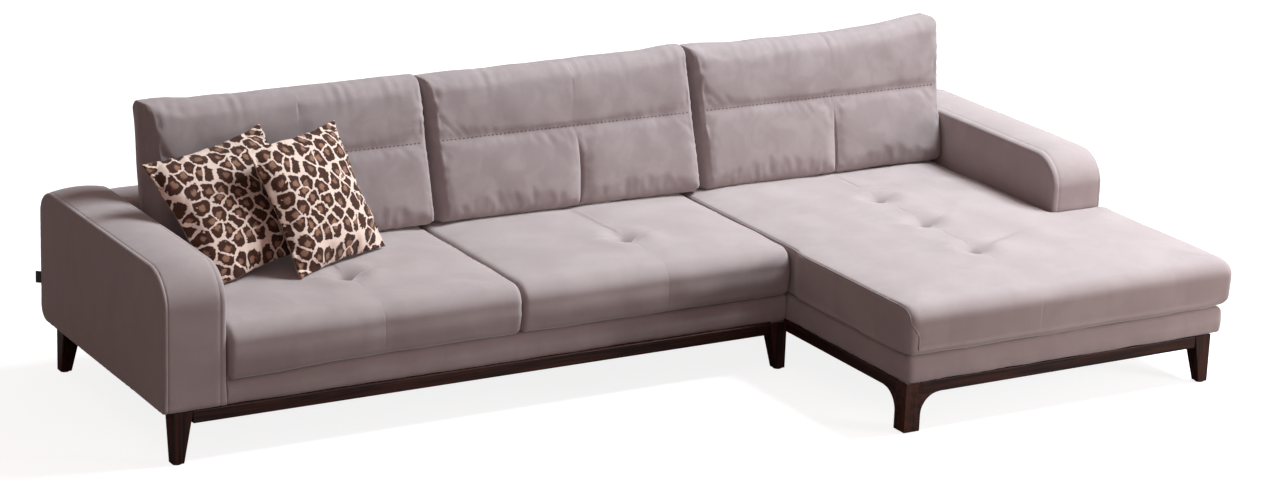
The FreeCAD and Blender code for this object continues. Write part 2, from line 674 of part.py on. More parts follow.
LEGS = [
    # name, corner it stands in, quarter turn that points it inwards
    ("leg_front_left", "left_leg_line", "arm_front", 0),
    ("leg_front_middle", "sofa_right", "arm_front", 90),
    ("leg_back_middle", "sofa_right", "back_leg_line", 180),
    ("leg_back_left", "left_leg_line", "back_leg_line", 270),
    ("leg_chaise_front_right", "right_leg_line", "chaise_front", 90),
    ("leg_chaise_back_right", "right_leg_line", "back_leg_line", 180),
    ("leg_chaise_back_left", "chaise_left", "back_leg_line", 270),
]


def square(low, side):
    """The corners of a square that starts the same distance from both axes."""
    high = f"{low} + {side}"
    return [(low, low), (high, low), (high, high), (low, high)]


def eased_square(side):
    """The corners of a square at the origin with its four corners planed off."""
    ease, high, eased = "leg_edge_ease", side, side + " - leg_edge_ease"
    return [(ease, "0"), (eased, "0"), (high, ease), (high, eased),
            (eased, high), (ease, high), ("0", eased), ("0", ease)]


def tapered_leg(name, across, along, quarter):
    """A leg with two upright outer faces and two tapered inner ones, sunk for its plate and bolt."""
    body = doc.addObject("PartDesign::Body", name)
    foot = outline(body, "XY_Plane", eased_square("leg_foot_side"))
    head = outline(body, "XY_Plane", eased_square("leg_top_side"), "leg_height")
    shaft = body.newObject("PartDesign::AdditiveLoft", name + "_shaft")
    shaft.Profile = foot
    shaft.Sections = [head]
    doc.recompute()
    recess = outline(body, "XY_Plane", square("(leg_top_side - plate_side) / 2", "plate_side"), "leg_height")
    pocket(body, recess, "plate_thick")
    hole = circle_outline(body, "leg_top_side / 2", "bolt_hole", "leg_height")
    pocket(body, hole, "leg_bolt_length")
    keep(place(body, (across, along, "glide_height"), (V(0, 0, 1), str(quarter))))


def corner_leg():
    """The chaise's straight corner post with a curved bracket under each of the two rails."""
    post = box("corner_post", ("chaise_left", "chaise_front", "glide_height"),
               ("corner_post", "corner_post", "leg_height"))
    bracket_foot = "rail_bottom - bracket_round"
    side_block = box("corner_side_block", ("chaise_left", "chaise_front + corner_post", bracket_foot),
                     ("rail_thick", "bracket_round", "bracket_round"))
    side_curve = rod("corner_side_curve",
                     ("chaise_left", "chaise_front + corner_post + bracket_round", bracket_foot),
                     "bracket_round", "rail_thick", turn=(V(0, 1, 0), "90"))
    front_block = box("corner_front_block", ("chaise_left + corner_post", "chaise_front", bracket_foot),
                      ("bracket_round", "rail_thick", "bracket_round"))
    front_curve = rod("corner_front_curve",
                      ("chaise_left + corner_post + bracket_round", "chaise_front", bracket_foot),
                      "bracket_round", "rail_thick", turn=(V(1, 0, 0), "-90"))
    side_bracket = drilled("corner_side_bracket", side_block, [side_curve])
    front_bracket = drilled("corner_front_bracket", front_block, [front_curve])
    whole = fused("corner_leg_blank", [post, side_bracket, front_bracket])
    recess_gap = "(corner_post - plate_side) / 2"
    recess = box("corner_recess", (f"chaise_left + {recess_gap}", f"chaise_front + {recess_gap}",
                                   "underside - plate_thick"), ("plate_side", "plate_side", "plate_thick"))
    hole = rod("corner_bolt_drill", ("chaise_left + corner_post / 2", "chaise_front + corner_post / 2",
                                     "underside - leg_bolt_length"), "bolt_hole", "leg_bolt_length")
    keep(drilled("leg_chaise_corner", whole, [recess, hole]))


def leg_fittings():
    """A plate and a bolt in the top of each leg, and a pad under it."""
    plates, bolts, glides = [], [], []
    tops = []
    for name, across, along, quarter in LEGS:
        x_way = 1 if quarter in (0, 270) else -1
        y_way = 1 if quarter in (0, 90) else -1
        tops.append((name, f"{across} + {x_way} * leg_top_side / 2", f"{along} + {y_way} * leg_top_side / 2",
                     f"{across} + {x_way} * leg_foot_side / 2", f"{along} + {y_way} * leg_foot_side / 2"))
    middle = ("chaise_left + corner_post / 2", "chaise_front + corner_post / 2")
    tops.append(("leg_chaise_corner",) + middle + middle)
    for name, top_x, top_y, foot_x, foot_y in tops:
        plate = box(name + "_plate_blank", (f"{top_x} - plate_side / 2", f"{top_y} - plate_side / 2",
                                            "underside - plate_thick"), ("plate_side", "plate_side", "plate_thick"))
        hole = rod(name + "_plate_hole", (top_x, top_y, "underside - plate_thick"), "bolt_hole", "plate_thick")
        plates.append(drilled(name + "_plate", plate, [hole]))
        bolts.append(rod(name + "_bolt", (top_x, top_y, "underside - leg_bolt_length"), "bolt_radius",
                         "leg_bolt_length"))
        glides.append(rod(name + "_glide", (foot_x, foot_y, "0"), "glide_radius", "glide_height"))
    keep(group("leg_plates", plates))
    keep(group("leg_bolts", bolts))
    keep(group("leg_glides", glides))


def rails():
    """The dark rails under the bands, between the legs."""
    keep(eased_board("sofa_front_rail", ("left_leg_line + leg_top_side", "arm_front", "rail_bottom"),
                     ("sofa_right - left_leg_line - 2 * leg_top_side", "rail_thick", "rail_height")))
    keep(eased_board("chaise_side_rail", ("chaise_left", "chaise_front + corner_post", "rail_bottom"),
                     ("rail_thick", "chaise_reach - corner_post + rail_tail", "rail_height")))
    keep(eased_board("chaise_front_rail", ("chaise_left + corner_post", "chaise_front", "rail_bottom"),
                     ("right_leg_line - leg_top_side - chaise_left - corner_post", "rail_thick", "rail_height")))


# What joins the two sections.

def connector_places():
    """Depth formulas of the connectors."""
    count = int(size("connector_count"))
    return [f"arm_front + connector_first + connector_pitch * {station}" for station in range(count)]


def connector_drills(section, across):
    """Holes in a board's lower edge for the connectors' bolts."""
    return [rod(f"{section}_connector_drill_{index}", (across, depth, "underside"), "bolt_hole",
                "connector_bolt_depth")
            for index, depth in enumerate(connector_places())]


def connectors():
    """Flat plates under the neighbouring boards, each held by a bolt in each section."""
    plates, bolts = [], []
    bolt_lines = ("sofa_right - board_thick / 2", "chaise_inner + board_thick / 2")
    for index, depth in enumerate(connector_places()):
        blank = box(f"connector_blank_{index}",
                    ("sofa_right - board_thick", f"{depth} - connector_width / 2", "underside - plate_thick"),
                    ("2 * board_thick + band_thick + module_gap", "connector_width", "plate_thick"))
        holes = []
        for section, across in zip(("sofa", "chaise"), bolt_lines):
            name = f"{section}_connector_{index}"
            holes.append(rod(name + "_hole", (across, depth, "underside - plate_thick"), "bolt_hole",
                             "plate_thick"))
            shank = rod(name + "_shank", (across, depth, "underside - plate_thick"), "bolt_radius",
                        "plate_thick + connector_bolt_depth")
            head = rod(name + "_head", (across, depth, "underside - plate_thick - bolt_head_height"),
                       "bolt_head_radius", "bolt_head_height")
            bolts.append(fused(name + "_bolt", [shank, head]))
        plates.append(drilled(f"connector_plate_{index}", blank, holes))
    keep(group("connector_plates", plates))
    keep(group("connector_bolts", bolts))


def tab():
    """A plain cloth tab that stands out of the left arm's back seam."""
    keep(box("side_tab", ("left_face + arm_outer_round", "back_face", "tab_level"),
             ("tab_thick", "tab_out", "tab_height")))


# Seat cushions: crowned, drawn in at their lower edges, with a sewn middle seam and tufts.

def seat_rise(depth):
    """Height of a seat cushion's crown over its edges, at a depth from the floor's Y."""
    start = size("arm_front - cushion_overhang + seat_front_round")
    end = size("back_foot - seat_gap")
    half = (end - start) / 2
    crown = size("seat_crown")
    radius = (half * half + crown * crown) / (2 * crown)
    off_middle = min(abs(depth - (start + end) / 2), half)
    return crown - radius + math.sqrt(radius * radius - off_middle * off_middle)


def seat_section(across, inset, crown, seam):
    """Side outline of a seat cushion at one x: rolled front, crowned top, upright back."""
    front = size("arm_front - cushion_overhang") + inset + seam
    rear = size("back_foot - seat_gap")
    low = size("deck_top")
    edge = size("seat_edge") - inset
    roll = size("seat_front_round")
    tuck = size("front_tuck")
    corner = roll * math.sqrt(0.5)
    roll_centre = (front + roll, edge - roll)
    foot = (across, front + tuck, low)
    roll_start = (across, front, roll_centre[1])
    roll_middle = (across, roll_centre[0] - corner, roll_centre[1] + corner)
    roll_end = (across, roll_centre[0], edge)
    top_middle = (across, (roll_centre[0] + rear) / 2, edge + crown - seam)
    return [
        arc(foot, (across, front + tuck * 0.2, (low + roll_centre[1]) / 2), roll_start),
        arc(roll_start, roll_middle, roll_end),
        arc(roll_end, top_middle, (across, rear, edge)),
        line((across, rear, edge), (across, rear, low)),
        line((across, rear, low), foot),
    ]


def dimples(shape, tufts, level):
    """Press a round dimple into a cushion's top at each tuft."""
    reach = size("tuft_radius")
    sink = size("tuft_depth")
    radius = (reach * reach + sink * sink) / (2 * sink)
    for across, depth in tufts:
        shape = shape.cut(Part.makeSphere(radius, V(across, depth, level - sink + radius)))
    return shape


def seat_cushion(name, left, right):
    """One of the two box seats, between two x formulas."""
    start, end = size(left), size(right)
    width = end - start
    near_side, far_side = rounded_stations(width, size("seat_side_round"))
    crown = size("seat_crown")
    middle = width / 2
    channel = size("seam_width")
    side_crown = crown * SEAT_CROWN_AT_SIDES
    half = len(SEAT_CROWN) // 2
    stations = [(across, inset, side_crown, 0) for across, inset in near_side]
    stations += [(width * share, 0, crown * level, 0) for share, level in SEAT_CROWN[:half]]
    stations += [(middle - channel, 0, crown, 0), (middle, 0, crown, size("seam_depth")),
                 (middle + channel, 0, crown, 0)]
    stations += [(width * share, 0, crown * level, 0) for share, level in SEAT_CROWN[half:]]
    stations += [(across, inset, side_crown, 0) for across, inset in far_side]
    sections = [seat_section(start + across, inset, rise, seam) for across, inset, rise, seam in stations]
    tuft = (start + middle, size("arm_front + tuft_setback"))
    level = size("seat_edge") + seat_rise(tuft[1]) - size("seam_depth")
    keep(feature(name, dimples(loft(sections), [tuft], level)))


def chaise_section(depth, left, right, inset, crown):
    """Outline across the chaise cushion at one y: two crowned halves that meet in the middle seam."""
    low = size("deck_top")
    edge = size("seat_edge") - inset
    roll = size("seat_side_round")
    tuck = size("front_tuck")
    seam = size("seam_depth")
    seam_line = size("(chaise_left + chaise_right) / 2")
    left += inset
    right -= inset
    corner = roll * (1 - math.sqrt(0.5))
    seam_top = (seam_line, depth, edge + max(crown - seam, 0))
    left_quarter = ((left + roll + seam_line) / 2, depth, edge + crown)
    right_quarter = ((right - roll + seam_line) / 2, depth, edge + crown)
    middle_height = (low + edge - roll) / 2
    return [
        line((right - tuck, depth, low), (left + tuck, depth, low)),
        arc((left + tuck, depth, low), (left + tuck * 0.2, depth, middle_height), (left, depth, edge - roll)),
        arc((left, depth, edge - roll), (left + corner, depth, edge - corner), (left + roll, depth, edge)),
        arc((left + roll, depth, edge), left_quarter, seam_top),
        arc(seam_top, right_quarter, (right - roll, depth, edge)),
        arc((right - roll, depth, edge), (right - corner, depth, edge - corner), (right, depth, edge - roll)),
        arc((right, depth, edge - roll), (right - tuck * 0.2, depth, middle_height), (right - tuck, depth, low)),
    ]


def chaise_cushion():
    """The long cushion: beside the arm it is as wide as the seat, in front of it it fills the chaise."""
    gap = size("seat_gap")
    overhang = size("cushion_overhang")
    narrow_left = size("chaise_left")
    narrow_right = size("chaise_right") - gap
    wide_left = narrow_left - overhang
    wide_right = size("right_face") + overhang
    front = size("chaise_front") - overhang
    rear = size("back_foot") - gap
    arm_line = size("arm_front") - gap
    seat_line = size("arm_front") - overhang - gap
    crown = size("seat_crown")
    seat_depth = size("back_setback")
    sections = []
    for share in (0, 0.06, 0.12, 0.2, 0.35, 0.6, 0.85):
        depth = rear - seat_depth * share
        sections.append(chaise_section(depth, narrow_left, narrow_right, 0, max(seat_rise(depth), 1)))
    sections.append(chaise_section(arm_line, narrow_left, narrow_right, 0, crown))
    sections.append(chaise_section(arm_line - gap, narrow_left, wide_right, 0, crown))
    sections.append(chaise_section(seat_line, narrow_left, wide_right, 0, crown))
    sections.append(chaise_section(seat_line - gap, wide_left, wide_right, 0, crown))
    sections.append(chaise_section((seat_line + front) / 2, wide_left, wide_right, 0, crown))
    roll = size("seat_front_round")
    for angle in reversed(ROUND_STEPS):
        turn = math.radians(angle)
        depth = front + roll * (1 - math.cos(turn))
        inset = roll * (1 - math.sin(turn))
        sections.append(chaise_section(depth, wide_left, wide_right, inset, max(crown * math.sin(turn), 1)))
    seam_line = size("(chaise_left + chaise_right) / 2")
    first = size("arm_front + chaise_tuft_setback")
    tufts = [(seam_line, first - size("chaise_tuft_pitch") * index) for index in range(3)]
    level = size("seat_edge + seat_crown - seam_depth")
    keep(feature("seat_cushion_chaise", dimples(loft(sections), tufts, level)))


# Loose back cushions.

def cushion_foot():
    """Where a back cushion's lower front edge stands: its depth and its height."""
    lean = math.tan(math.radians(size("back_lean")))
    height = size("seat_edge") + size("soft_gap")
    for _ in range(4):
        depth = size("back_foot") + (height - size("deck_top")) * lean - size("back_cushion_thick")
        height = size("seat_edge") + seat_rise(depth) + size("soft_gap")
    return depth, height


def back_section(across, inset, rise, bulge, seam):
    """Side outline of a back cushion at one x: two filled front panels that meet at the stitched line."""
    lean = math.tan(math.radians(size("back_lean")))
    foot_depth, low = cushion_foot()
    clear = size("soft_gap") / math.cos(math.radians(size("back_lean")))
    front_plane = foot_depth - low * lean
    back_plane = size("back_foot") - size("deck_top") * lean - clear
    top = size("back_cushion_top") + rise - inset
    stitch = size("stitch_height")
    shoulder = size("back_top")
    top_front = front_plane + top * lean + inset
    top_rear = top_front + size("back_cushion_top_thick") - 2 * inset
    front_foot = front_plane + low * lean + inset
    stitch_depth = front_plane + stitch * lean + inset + 3
    lower_middle = ((front_foot + stitch_depth) / 2 - bulge + seam, (low + stitch) / 2)
    upper_middle = ((stitch_depth + top_front) / 2 - bulge, (stitch + top) / 2)
    rear_foot = (back_plane + low * lean - inset, low)
    rear_shoulder = (back_plane + shoulder * lean - inset, shoulder)
    rear_top = (top_rear, top)
    rear_middle = ((rear_shoulder[0] + rear_top[0]) / 2 + bulge, (shoulder + top) / 2)
    crest = ((top_front + top_rear) / 2, top + size("back_cushion_crest"))

    def at(point):
        return (across, point[0], point[1])

    return [
        line(at(rear_foot), at((front_foot, low))),
        arc(at((front_foot, low)), at(lower_middle), at((stitch_depth, stitch))),
        arc(at((stitch_depth, stitch)), at(upper_middle), at((top_front, top))),
        arc(at((top_front, top)), at(crest), at(rear_top)),
        arc(at(rear_top), at(rear_middle), at(rear_shoulder)),
        line(at(rear_shoulder), at(rear_foot)),
    ]


def back_cushion(name, index):
    """One of three loose cushions that share the length between the arms, the left one a little shorter."""
    gap = size("loose_gap")
    width = (size("chaise_right - sofa_left") - 4 * gap) / 3
    start = size("sofa_left") + gap + index * (width + gap)
    if index == 0:
        start, width = start + size("left_room"), width - size("left_room")
    near_side, far_side = rounded_stations(width, size("back_cushion_side_round"))
    bulge = size("back_cushion_bulge")
    rise = size("corner_rise")
    seam_half = size("seam_width")
    sections = [back_section(start + across, inset, rise, bulge * 0.5, 0) for across, inset in near_side]
    for share, seam in ((0.15, 0), (0.3, 0), (0.42, 0)):
        lift = rise * (1 - 2 * share) ** 2
        sections.append(back_section(start + width * share, 0, lift, bulge, seam))
    sections.append(back_section(start + width / 2 - seam_half, 0, 0, bulge, 0))
    sections.append(back_section(start + width / 2, 0, 0, bulge, size("seam_depth")))
    sections.append(back_section(start + width / 2 + seam_half, 0, 0, bulge, 0))
    for share, seam in ((0.58, 0), (0.7, 0), (0.85, 0)):
        lift = rise * (2 * share - 1) ** 2
        sections.append(back_section(start + width * share, 0, lift, bulge, seam))
    sections += [back_section(start + across, inset, rise, bulge * 0.5, 0) for across, inset in far_side]
    keep(feature(name, loft(sections)))


# Scatter pillows: square, filled in the middle, with thin edges that pull in between the corners.

def pillow_shape():
    """A pillow about the origin, in the XZ plane, facing -Y."""
    side = size("pillow_side")
    draw = size("pillow_draw")
    edge = size("pillow_edge")
    filling = size("pillow_half") - edge
    sections = []
    for share in (-1, -0.97, -0.9, -0.75, -0.5, -0.25, 0, 0.25, 0.5, 0.75, 0.9, 0.97, 1):
        up = side / 2 * share
        half = side / 2 - draw * math.cos(math.pi * share / 2)
        bulge = max(filling * (1 - share * share) ** 0.7, 1)
        sections.append([
            line((-half, edge, up), (-half, -edge, up)),
            arc((-half, -edge, up), (0, -edge - bulge, up), (half, -edge, up)),
            line((half, -edge, up), (half, edge, up)),
            arc((half, edge, up), (0, edge + bulge, up), (-half, edge, up)),
        ])
    shape = loft(sections)
    radius = (side * side / 4 + draw * draw) / (2 * draw)
    for way in (-1, 1):
        centre = V(0, -side, way * (side / 2 - draw + radius))
        shape = shape.cut(Part.makeCylinder(radius, 2 * side, centre, V(0, 1, 0)))
    return shape


def left_seat_height(across, depth):
    """Height of the left seat cushion's top at one place, seam and tuft left out."""
    start = size("sofa_left + seat_gap / 2")
    width = size("(sofa_right - sofa_left) / 2 - seat_gap")
    share = min(max((across - start) / width, 0), 1)
    knots = ((0, SEAT_CROWN_AT_SIDES),) + SEAT_CROWN + ((1, SEAT_CROWN_AT_SIDES),)
    for (low, low_crown), (high, high_crown) in zip(knots, knots[1:]):
        if share <= high:
            crown = low_crown + (high_crown - low_crown) * (share - low) / (high - low)
            break
    return size("seat_edge") + seat_rise(depth) * crown


def set_down(name, plain, points, across, depth, support):
    """Set a pillow on the left seat and move it back until it just clears what it leans on."""
    gap = size("soft_gap")
    turn = FreeCAD.Rotation(V(0, 0, 1), size(name + "_turn"))
    lean = FreeCAD.Rotation(V(1, 0, 0), -size(name + "_lean"))
    twist = FreeCAD.Rotation(V(0, 1, 0), -size(name + "_twist"))
    rotation = turn.multiply(lean).multiply(twist)
    spots = [rotation.multVec(point) for point in points]
    if across is None:
        across = size("sofa_left") + gap - min(spot.x for spot in spots)
    solid = plain.copy()
    for _ in range(LEAN_STEPS):
        height = max(left_seat_height(across + spot.x, depth + spot.y) + gap - spot.z for spot in spots)
        solid.Placement = FreeCAD.Placement(V(across, depth, height), rotation)
        step = solid.distToShape(support)[0] - gap
        if step < gap / 10:
            break
        depth += step
    keep(feature("scatter_pillow_" + name, plain, solid.Placement))
    return solid


def straight_foot():
    """Points from corner to corner under a pillow, so that it rests on the crowned seat by its corners."""
    half = size("pillow_side") / 2
    edge = size("pillow_edge")
    return [V(half * step / FOOT_STEPS, side, -half)
            for step in range(-FOOT_STEPS, FOOT_STEPS + 1) for side in (-edge, edge)]


def pillows():
    """The rear pillow lies in the corner of arm and back cushion, the front one leans on it."""
    plain = pillow_shape()
    points = plain.tessellate(1)[0] + straight_foot()
    behind = doc.getObject("back_cushion_left").Shape
    start = cushion_foot()[0] - size("pillow_side") / 2
    rear = set_down("rear", plain, points, None, start, behind)
    middle = rear.Placement.Base
    set_down("front", plain, points, middle.x + size("front_shift"), middle.y - size("2 * pillow_half"), rear)


def check_and_write():
    """Stop on any failed object or bad shape, then write each sub-part's file."""
    doc.recompute()
    for piece in doc.Objects:
        if "Invalid" in piece.State or "Error" in piece.State:
            raise RuntimeError(f"{piece.Name} failed: {piece.State}")
    os.makedirs("parts", exist_ok=True)
    for piece in subparts:
        shape = piece.Shape
        if shape.isNull() or not shape.isValid() or not shape.Solids:
            raise RuntimeError(f"{piece.Label} has no valid solid")
        shape.exportStep(os.path.join("parts", piece.Label + ".step"))
    print(len(subparts), "sub-parts written")


seat_boards()
seat_straps()
seat_decks()
bands()
back("sofa", "sofa_left", "sofa_right")
back("chaise", "chaise_left", "chaise_right")
for arm_side_name in ("left", "right"):
    arm_cover(arm_side_name)
    arm_frame(arm_side_name)
arm_bolts()
for leg_name, leg_across, leg_along, leg_quarter in LEGS:
    tapered_leg(leg_name, leg_across, leg_along, leg_quarter)
corner_leg()
leg_fittings()
rails()
connectors()
tab()
seat_split = "(sofa_left + sofa_right) / 2"
seat_cushion("seat_cushion_left", "sofa_left + seat_gap / 2", seat_split + " - seat_gap / 2")
seat_cushion("seat_cushion_middle", seat_split + " + seat_gap / 2", "sofa_right - seat_gap / 2")
chaise_cushion()
for cushion_index, cushion_side in enumerate(("left", "middle", "right")):
    back_cushion("back_cushion_" + cushion_side, cushion_index)
pillows()
check_and_write()
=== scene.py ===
"""Corner sofa with a chaise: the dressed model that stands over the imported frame."""
import logging
import math
from dataclasses import dataclass
from enum import Enum
from typing import Callable, Iterable, Sequence

import bpy
import numpy as np
from mathutils import Matrix, Vector
from mathutils.bvhtree import BVHTree


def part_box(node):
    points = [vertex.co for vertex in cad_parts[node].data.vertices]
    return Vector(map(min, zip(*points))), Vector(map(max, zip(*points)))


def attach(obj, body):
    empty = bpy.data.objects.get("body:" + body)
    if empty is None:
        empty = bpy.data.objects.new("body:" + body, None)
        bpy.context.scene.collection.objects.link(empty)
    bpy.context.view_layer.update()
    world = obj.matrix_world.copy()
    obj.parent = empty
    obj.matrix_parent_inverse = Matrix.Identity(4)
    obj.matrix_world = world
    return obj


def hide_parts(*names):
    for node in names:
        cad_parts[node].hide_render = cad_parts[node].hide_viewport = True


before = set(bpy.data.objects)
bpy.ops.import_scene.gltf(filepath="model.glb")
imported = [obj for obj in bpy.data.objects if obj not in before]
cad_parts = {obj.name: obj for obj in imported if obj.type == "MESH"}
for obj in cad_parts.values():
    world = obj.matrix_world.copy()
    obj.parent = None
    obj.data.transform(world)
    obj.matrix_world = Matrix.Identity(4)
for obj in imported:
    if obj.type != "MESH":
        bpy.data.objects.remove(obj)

LOG = logging.getLogger("corner_sofa")
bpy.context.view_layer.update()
TINY = 1e-12

Points = np.ndarray
Place = tuple[float, float]
Spot = tuple[float, float, float]
Colour = tuple[float, float, float]
Face = tuple[int, ...]
Roll = Callable[[Points], Points]
Surface = tuple[dict[str, object], bpy.types.NodeSocket, float, float]


def smooth_step(low: float, high: float, value: Points) -> Points:
    """Soft ramp from 0 at low to 1 at high."""
    share = np.clip((np.asarray(value, float) - low) / (high - low), 0, 1)
    return share * share * (3 - 2 * share)


def bell(offset: Points, width: float) -> Points:
    """Soft bump, 1 at no offset, that fades over a width."""
    return np.exp(-(offset / width) ** 2)


def plumped(distance: Points, reach: float) -> Points:
    """Fullness of a filling at a distance from its edge, 0 at the edge and 1 far inside."""
    return 1 - np.exp(-np.clip(distance, 0, 9) / reach)


def span_share(low: float, high: float, value: Points) -> Points:
    """Straight ramp from 0 at low to 1 at high."""
    return np.clip((value - low) / (high - low), 0, 1)


def soft_field(points: Points, wavelength: float, seed: int, waves: int = 14) -> Points:
    """Smooth random field, the same on each run.

    Args:
        points: Places, one row each.
        wavelength: Mean distance from crest to crest.
        seed: Picks the pattern.
        waves: Number of sine waves that are added up.

    Returns:
        One value for each place, mostly from -1 to 1.
    """
    points = np.atleast_2d(points)
    chance = np.random.default_rng(seed)
    total = np.zeros(len(points))
    for _ in range(waves):
        way = chance.normal(size=points.shape[1])
        way /= np.linalg.norm(way)
        length = wavelength * chance.uniform(0.65, 1.6)
        total += np.sin(points @ way * (math.tau / length) + chance.uniform(0, math.tau))
    return total / math.sqrt(waves / 2) * 0.6


def unit(vector: Points) -> Points:
    """Rows scaled to length one."""
    return vector / np.maximum(np.linalg.norm(vector, axis=-1, keepdims=True), TINY)


def even(low: float, high: float, pitch: float) -> Points:
    """Evenly spaced lines from low to high, about pitch apart."""
    return np.linspace(low, high, max(2, round((high - low) / pitch) + 1))


def lines_with_seams(low: float, high: float, pitch: float, seams: Iterable[float] = (),
                     fine: float = 0.0016) -> Points:
    """Grid lines that close up at each seam.

    Args:
        low: First line.
        high: Last line.
        pitch: Usual distance between lines.
        seams: Places where narrow grooves run.
        fine: Distance between lines beside a seam.

    Returns:
        The lines in order.
    """
    lines = list(even(low, high, pitch))
    for seam in seams:
        lines = [line for line in lines if abs(line - seam) > pitch * 0.55]
        lines += [seam + side * fine * step for side in (-1, 1) for step in (1, 2.4)] + [seam]
    return np.array(sorted(lines))


def shares(low: float, high: float, lines: Points) -> Points:
    """Lines as shares of the span from low to high."""
    return (lines - low) / (high - low)


def polyline(points: Sequence[Spot], pitch: float = 0.02) -> Points:
    """Straight runs between points, cut into short pieces.

    Args:
        points: The line's corners.
        pitch: Longest piece.

    Returns:
        The line.
    """
    line = [np.array(points[0], float)]
    for start, end in zip(points, points[1:]):
        start, end = np.array(start, float), np.array(end, float)
        steps = max(1, round(float(np.linalg.norm(end - start)) / pitch))
        line += [start + (end - start) * n / steps for n in range(1, steps + 1)]
    return np.array(line)


def run_lengths(line: Points) -> Points:
    """How far along a line each of its places is."""
    return np.concatenate(([0], np.cumsum(np.linalg.norm(np.diff(line, axis=0), axis=1))))


def walk(line: Points, marks: Points) -> Points:
    """Places on a line at the given distances along it."""
    lengths = run_lengths(line)
    return np.stack([np.interp(marks, lengths, column) for column in line.T], 1)


def border_cells(wide: int, high: int,
                 notch: tuple[int, int] | None = None) -> list[tuple[int, int]]:
    """Places on a grid's border, run anticlockwise.

    Args:
        wide: Number of cells in u.
        high: Number of cells in v.
        notch: Cell from which the far corner is left out, or None.

    Returns:
        Column and row of each place.
    """
    turns = [(0, 0), (wide, 0), (wide, high), (0, high)]
    if notch:
        turns[2:3] = [(wide, notch[1]), notch, (notch[0], high)]
    cells = []
    for here, there in zip(turns, turns[1:] + turns[:1]):
        steps = max(abs(there[0] - here[0]), abs(there[1] - here[1]))
        step = ((there[0] - here[0]) // steps, (there[1] - here[1]) // steps)
        cells += [(here[0] + step[0] * n, here[1] + step[1] * n) for n in range(steps)]
    return cells


def grid_quads(index: Points, kept: Points | None = None) -> list[Face]:
    """Quads between the numbered points of a grid.

    Args:
        index: Number of each point.
        kept: Which cells get a quad, or None for all of them.

    Returns:
        The quads, column by column.
    """
    quads = np.stack((index[:-1, :-1], index[1:, :-1], index[1:, 1:], index[:-1, 1:]), -1)
    quads = quads.reshape(-1, 4) if kept is None else quads[kept]
    return [tuple(quad) for quad in quads.tolist()]


def moved_on(face: Face, shift: int) -> Face:
    """A face with its point numbers raised by a shift."""
    return tuple(n + shift for n in face)


@dataclass
class Outline:
    """Closed outline with rounded corners in a plan of two axes, run anticlockwise.

    Attributes:
        corners: Each corner's place and radius.
        stations: For each side, shares of its length at which points are set, from 0 to 1.
        bulges: How far the middle of each side stands out.
    """

    corners: Sequence[Spot]
    stations: Sequence[Points]
    bulges: Sequence[float]

    @classmethod
    def four_sided(cls, corners: Sequence[Spot], steps: tuple[Points, Points],
                   bulges: Sequence[float] = (0.0,) * 4) -> "Outline":
        """Outline whose facing sides have the same stations."""
        return cls(corners, steps * 2, bulges)

    def trace(self) -> tuple[Points, Points]:
        """Follow the outline once.

        Returns:
            The points and their outward directions, two numbers a row.
        """
        count = len(self.corners)
        places = [np.array(corner[:2], float) for corner in self.corners]
        fillets = []
        for index, here in enumerate(places):
            came, goes = unit(here - places[index - 1]), unit(places[(index + 1) % count] - here)
            turn = math.atan2(came[0] * goes[1] - came[1] * goes[0], float(came @ goes))
            radius = self.corners[index][2]
            trim = radius * math.tan(abs(turn) / 2)
            inward = np.array((-came[1], came[0])) * math.copysign(1, turn)
            centre = here - came * trim + inward * radius
            start = here - came * trim - centre
            fillets.append((centre, radius, math.atan2(start[1], start[0]), turn, trim))
        loop = []
        for index, here in enumerate(places):
            first, last = fillets[index], fillets[(index + 1) % count]
            there = places[(index + 1) % count]
            ahead = unit(there - here)
            begin, end = here + ahead * first[4], there - ahead * last[4]
            outward = np.array((ahead[1], -ahead[0]))
            spans = (first[1] * abs(first[3]) / 2, float(np.linalg.norm(end - begin)),
                     last[1] * abs(last[3]) / 2)
            for share in self.stations[index][:-1]:
                reach = share * sum(spans)
                if reach < spans[0]:
                    loop.append(self.on_arc(first, 0.5 + 0.5 * reach / spans[0]))
                elif reach <= spans[0] + spans[1]:
                    part = (reach - spans[0]) / max(spans[1], 1e-9)
                    stand = self.bulges[index] * max(math.sin(math.pi * part), 0) ** 1.3
                    loop.append(begin + (end - begin) * part + outward * stand)
                else:
                    past = reach - spans[0] - spans[1]
                    loop.append(self.on_arc(last, 0.5 * past / max(spans[2], 1e-9)))
        loop = np.array(loop)
        tangent = unit(np.roll(loop, -1, 0) - np.roll(loop, 1, 0))
        return loop, np.stack((tangent[:, 1], -tangent[:, 0]), 1)

    @staticmethod
    def on_arc(fillet: tuple[Points, float, float, float, float], share: float) -> Points:
        """Point at a share of a corner's turn.

        Args:
            fillet: Centre, radius, start angle, turn and trim of the rounded corner.
            share: How far round, from 0 to 1.

        Returns:
            The point.
        """
        centre, radius, start, turn, _ = fillet
        angle = start + turn * share
        return centre + radius * np.array((math.cos(angle), math.sin(angle)))

    def line_at(self, across: float) -> Points:
        """The outline as a line that runs round a piece at a place along x."""
        loop, _ = self.trace()
        return np.column_stack((np.full(len(loop), across), loop))


class Lay(Enum):
    """How a form's plan and thickness lie in the frame: axes of plan u, v and thickness."""

    ALONG_X = (1, 2, 0)
    UPRIGHT = (0, 1, 2)


def same_roll(radius: float) -> Roll:
    """Edge radius that is the same all round."""
    return lambda loop: np.full(len(loop), radius)


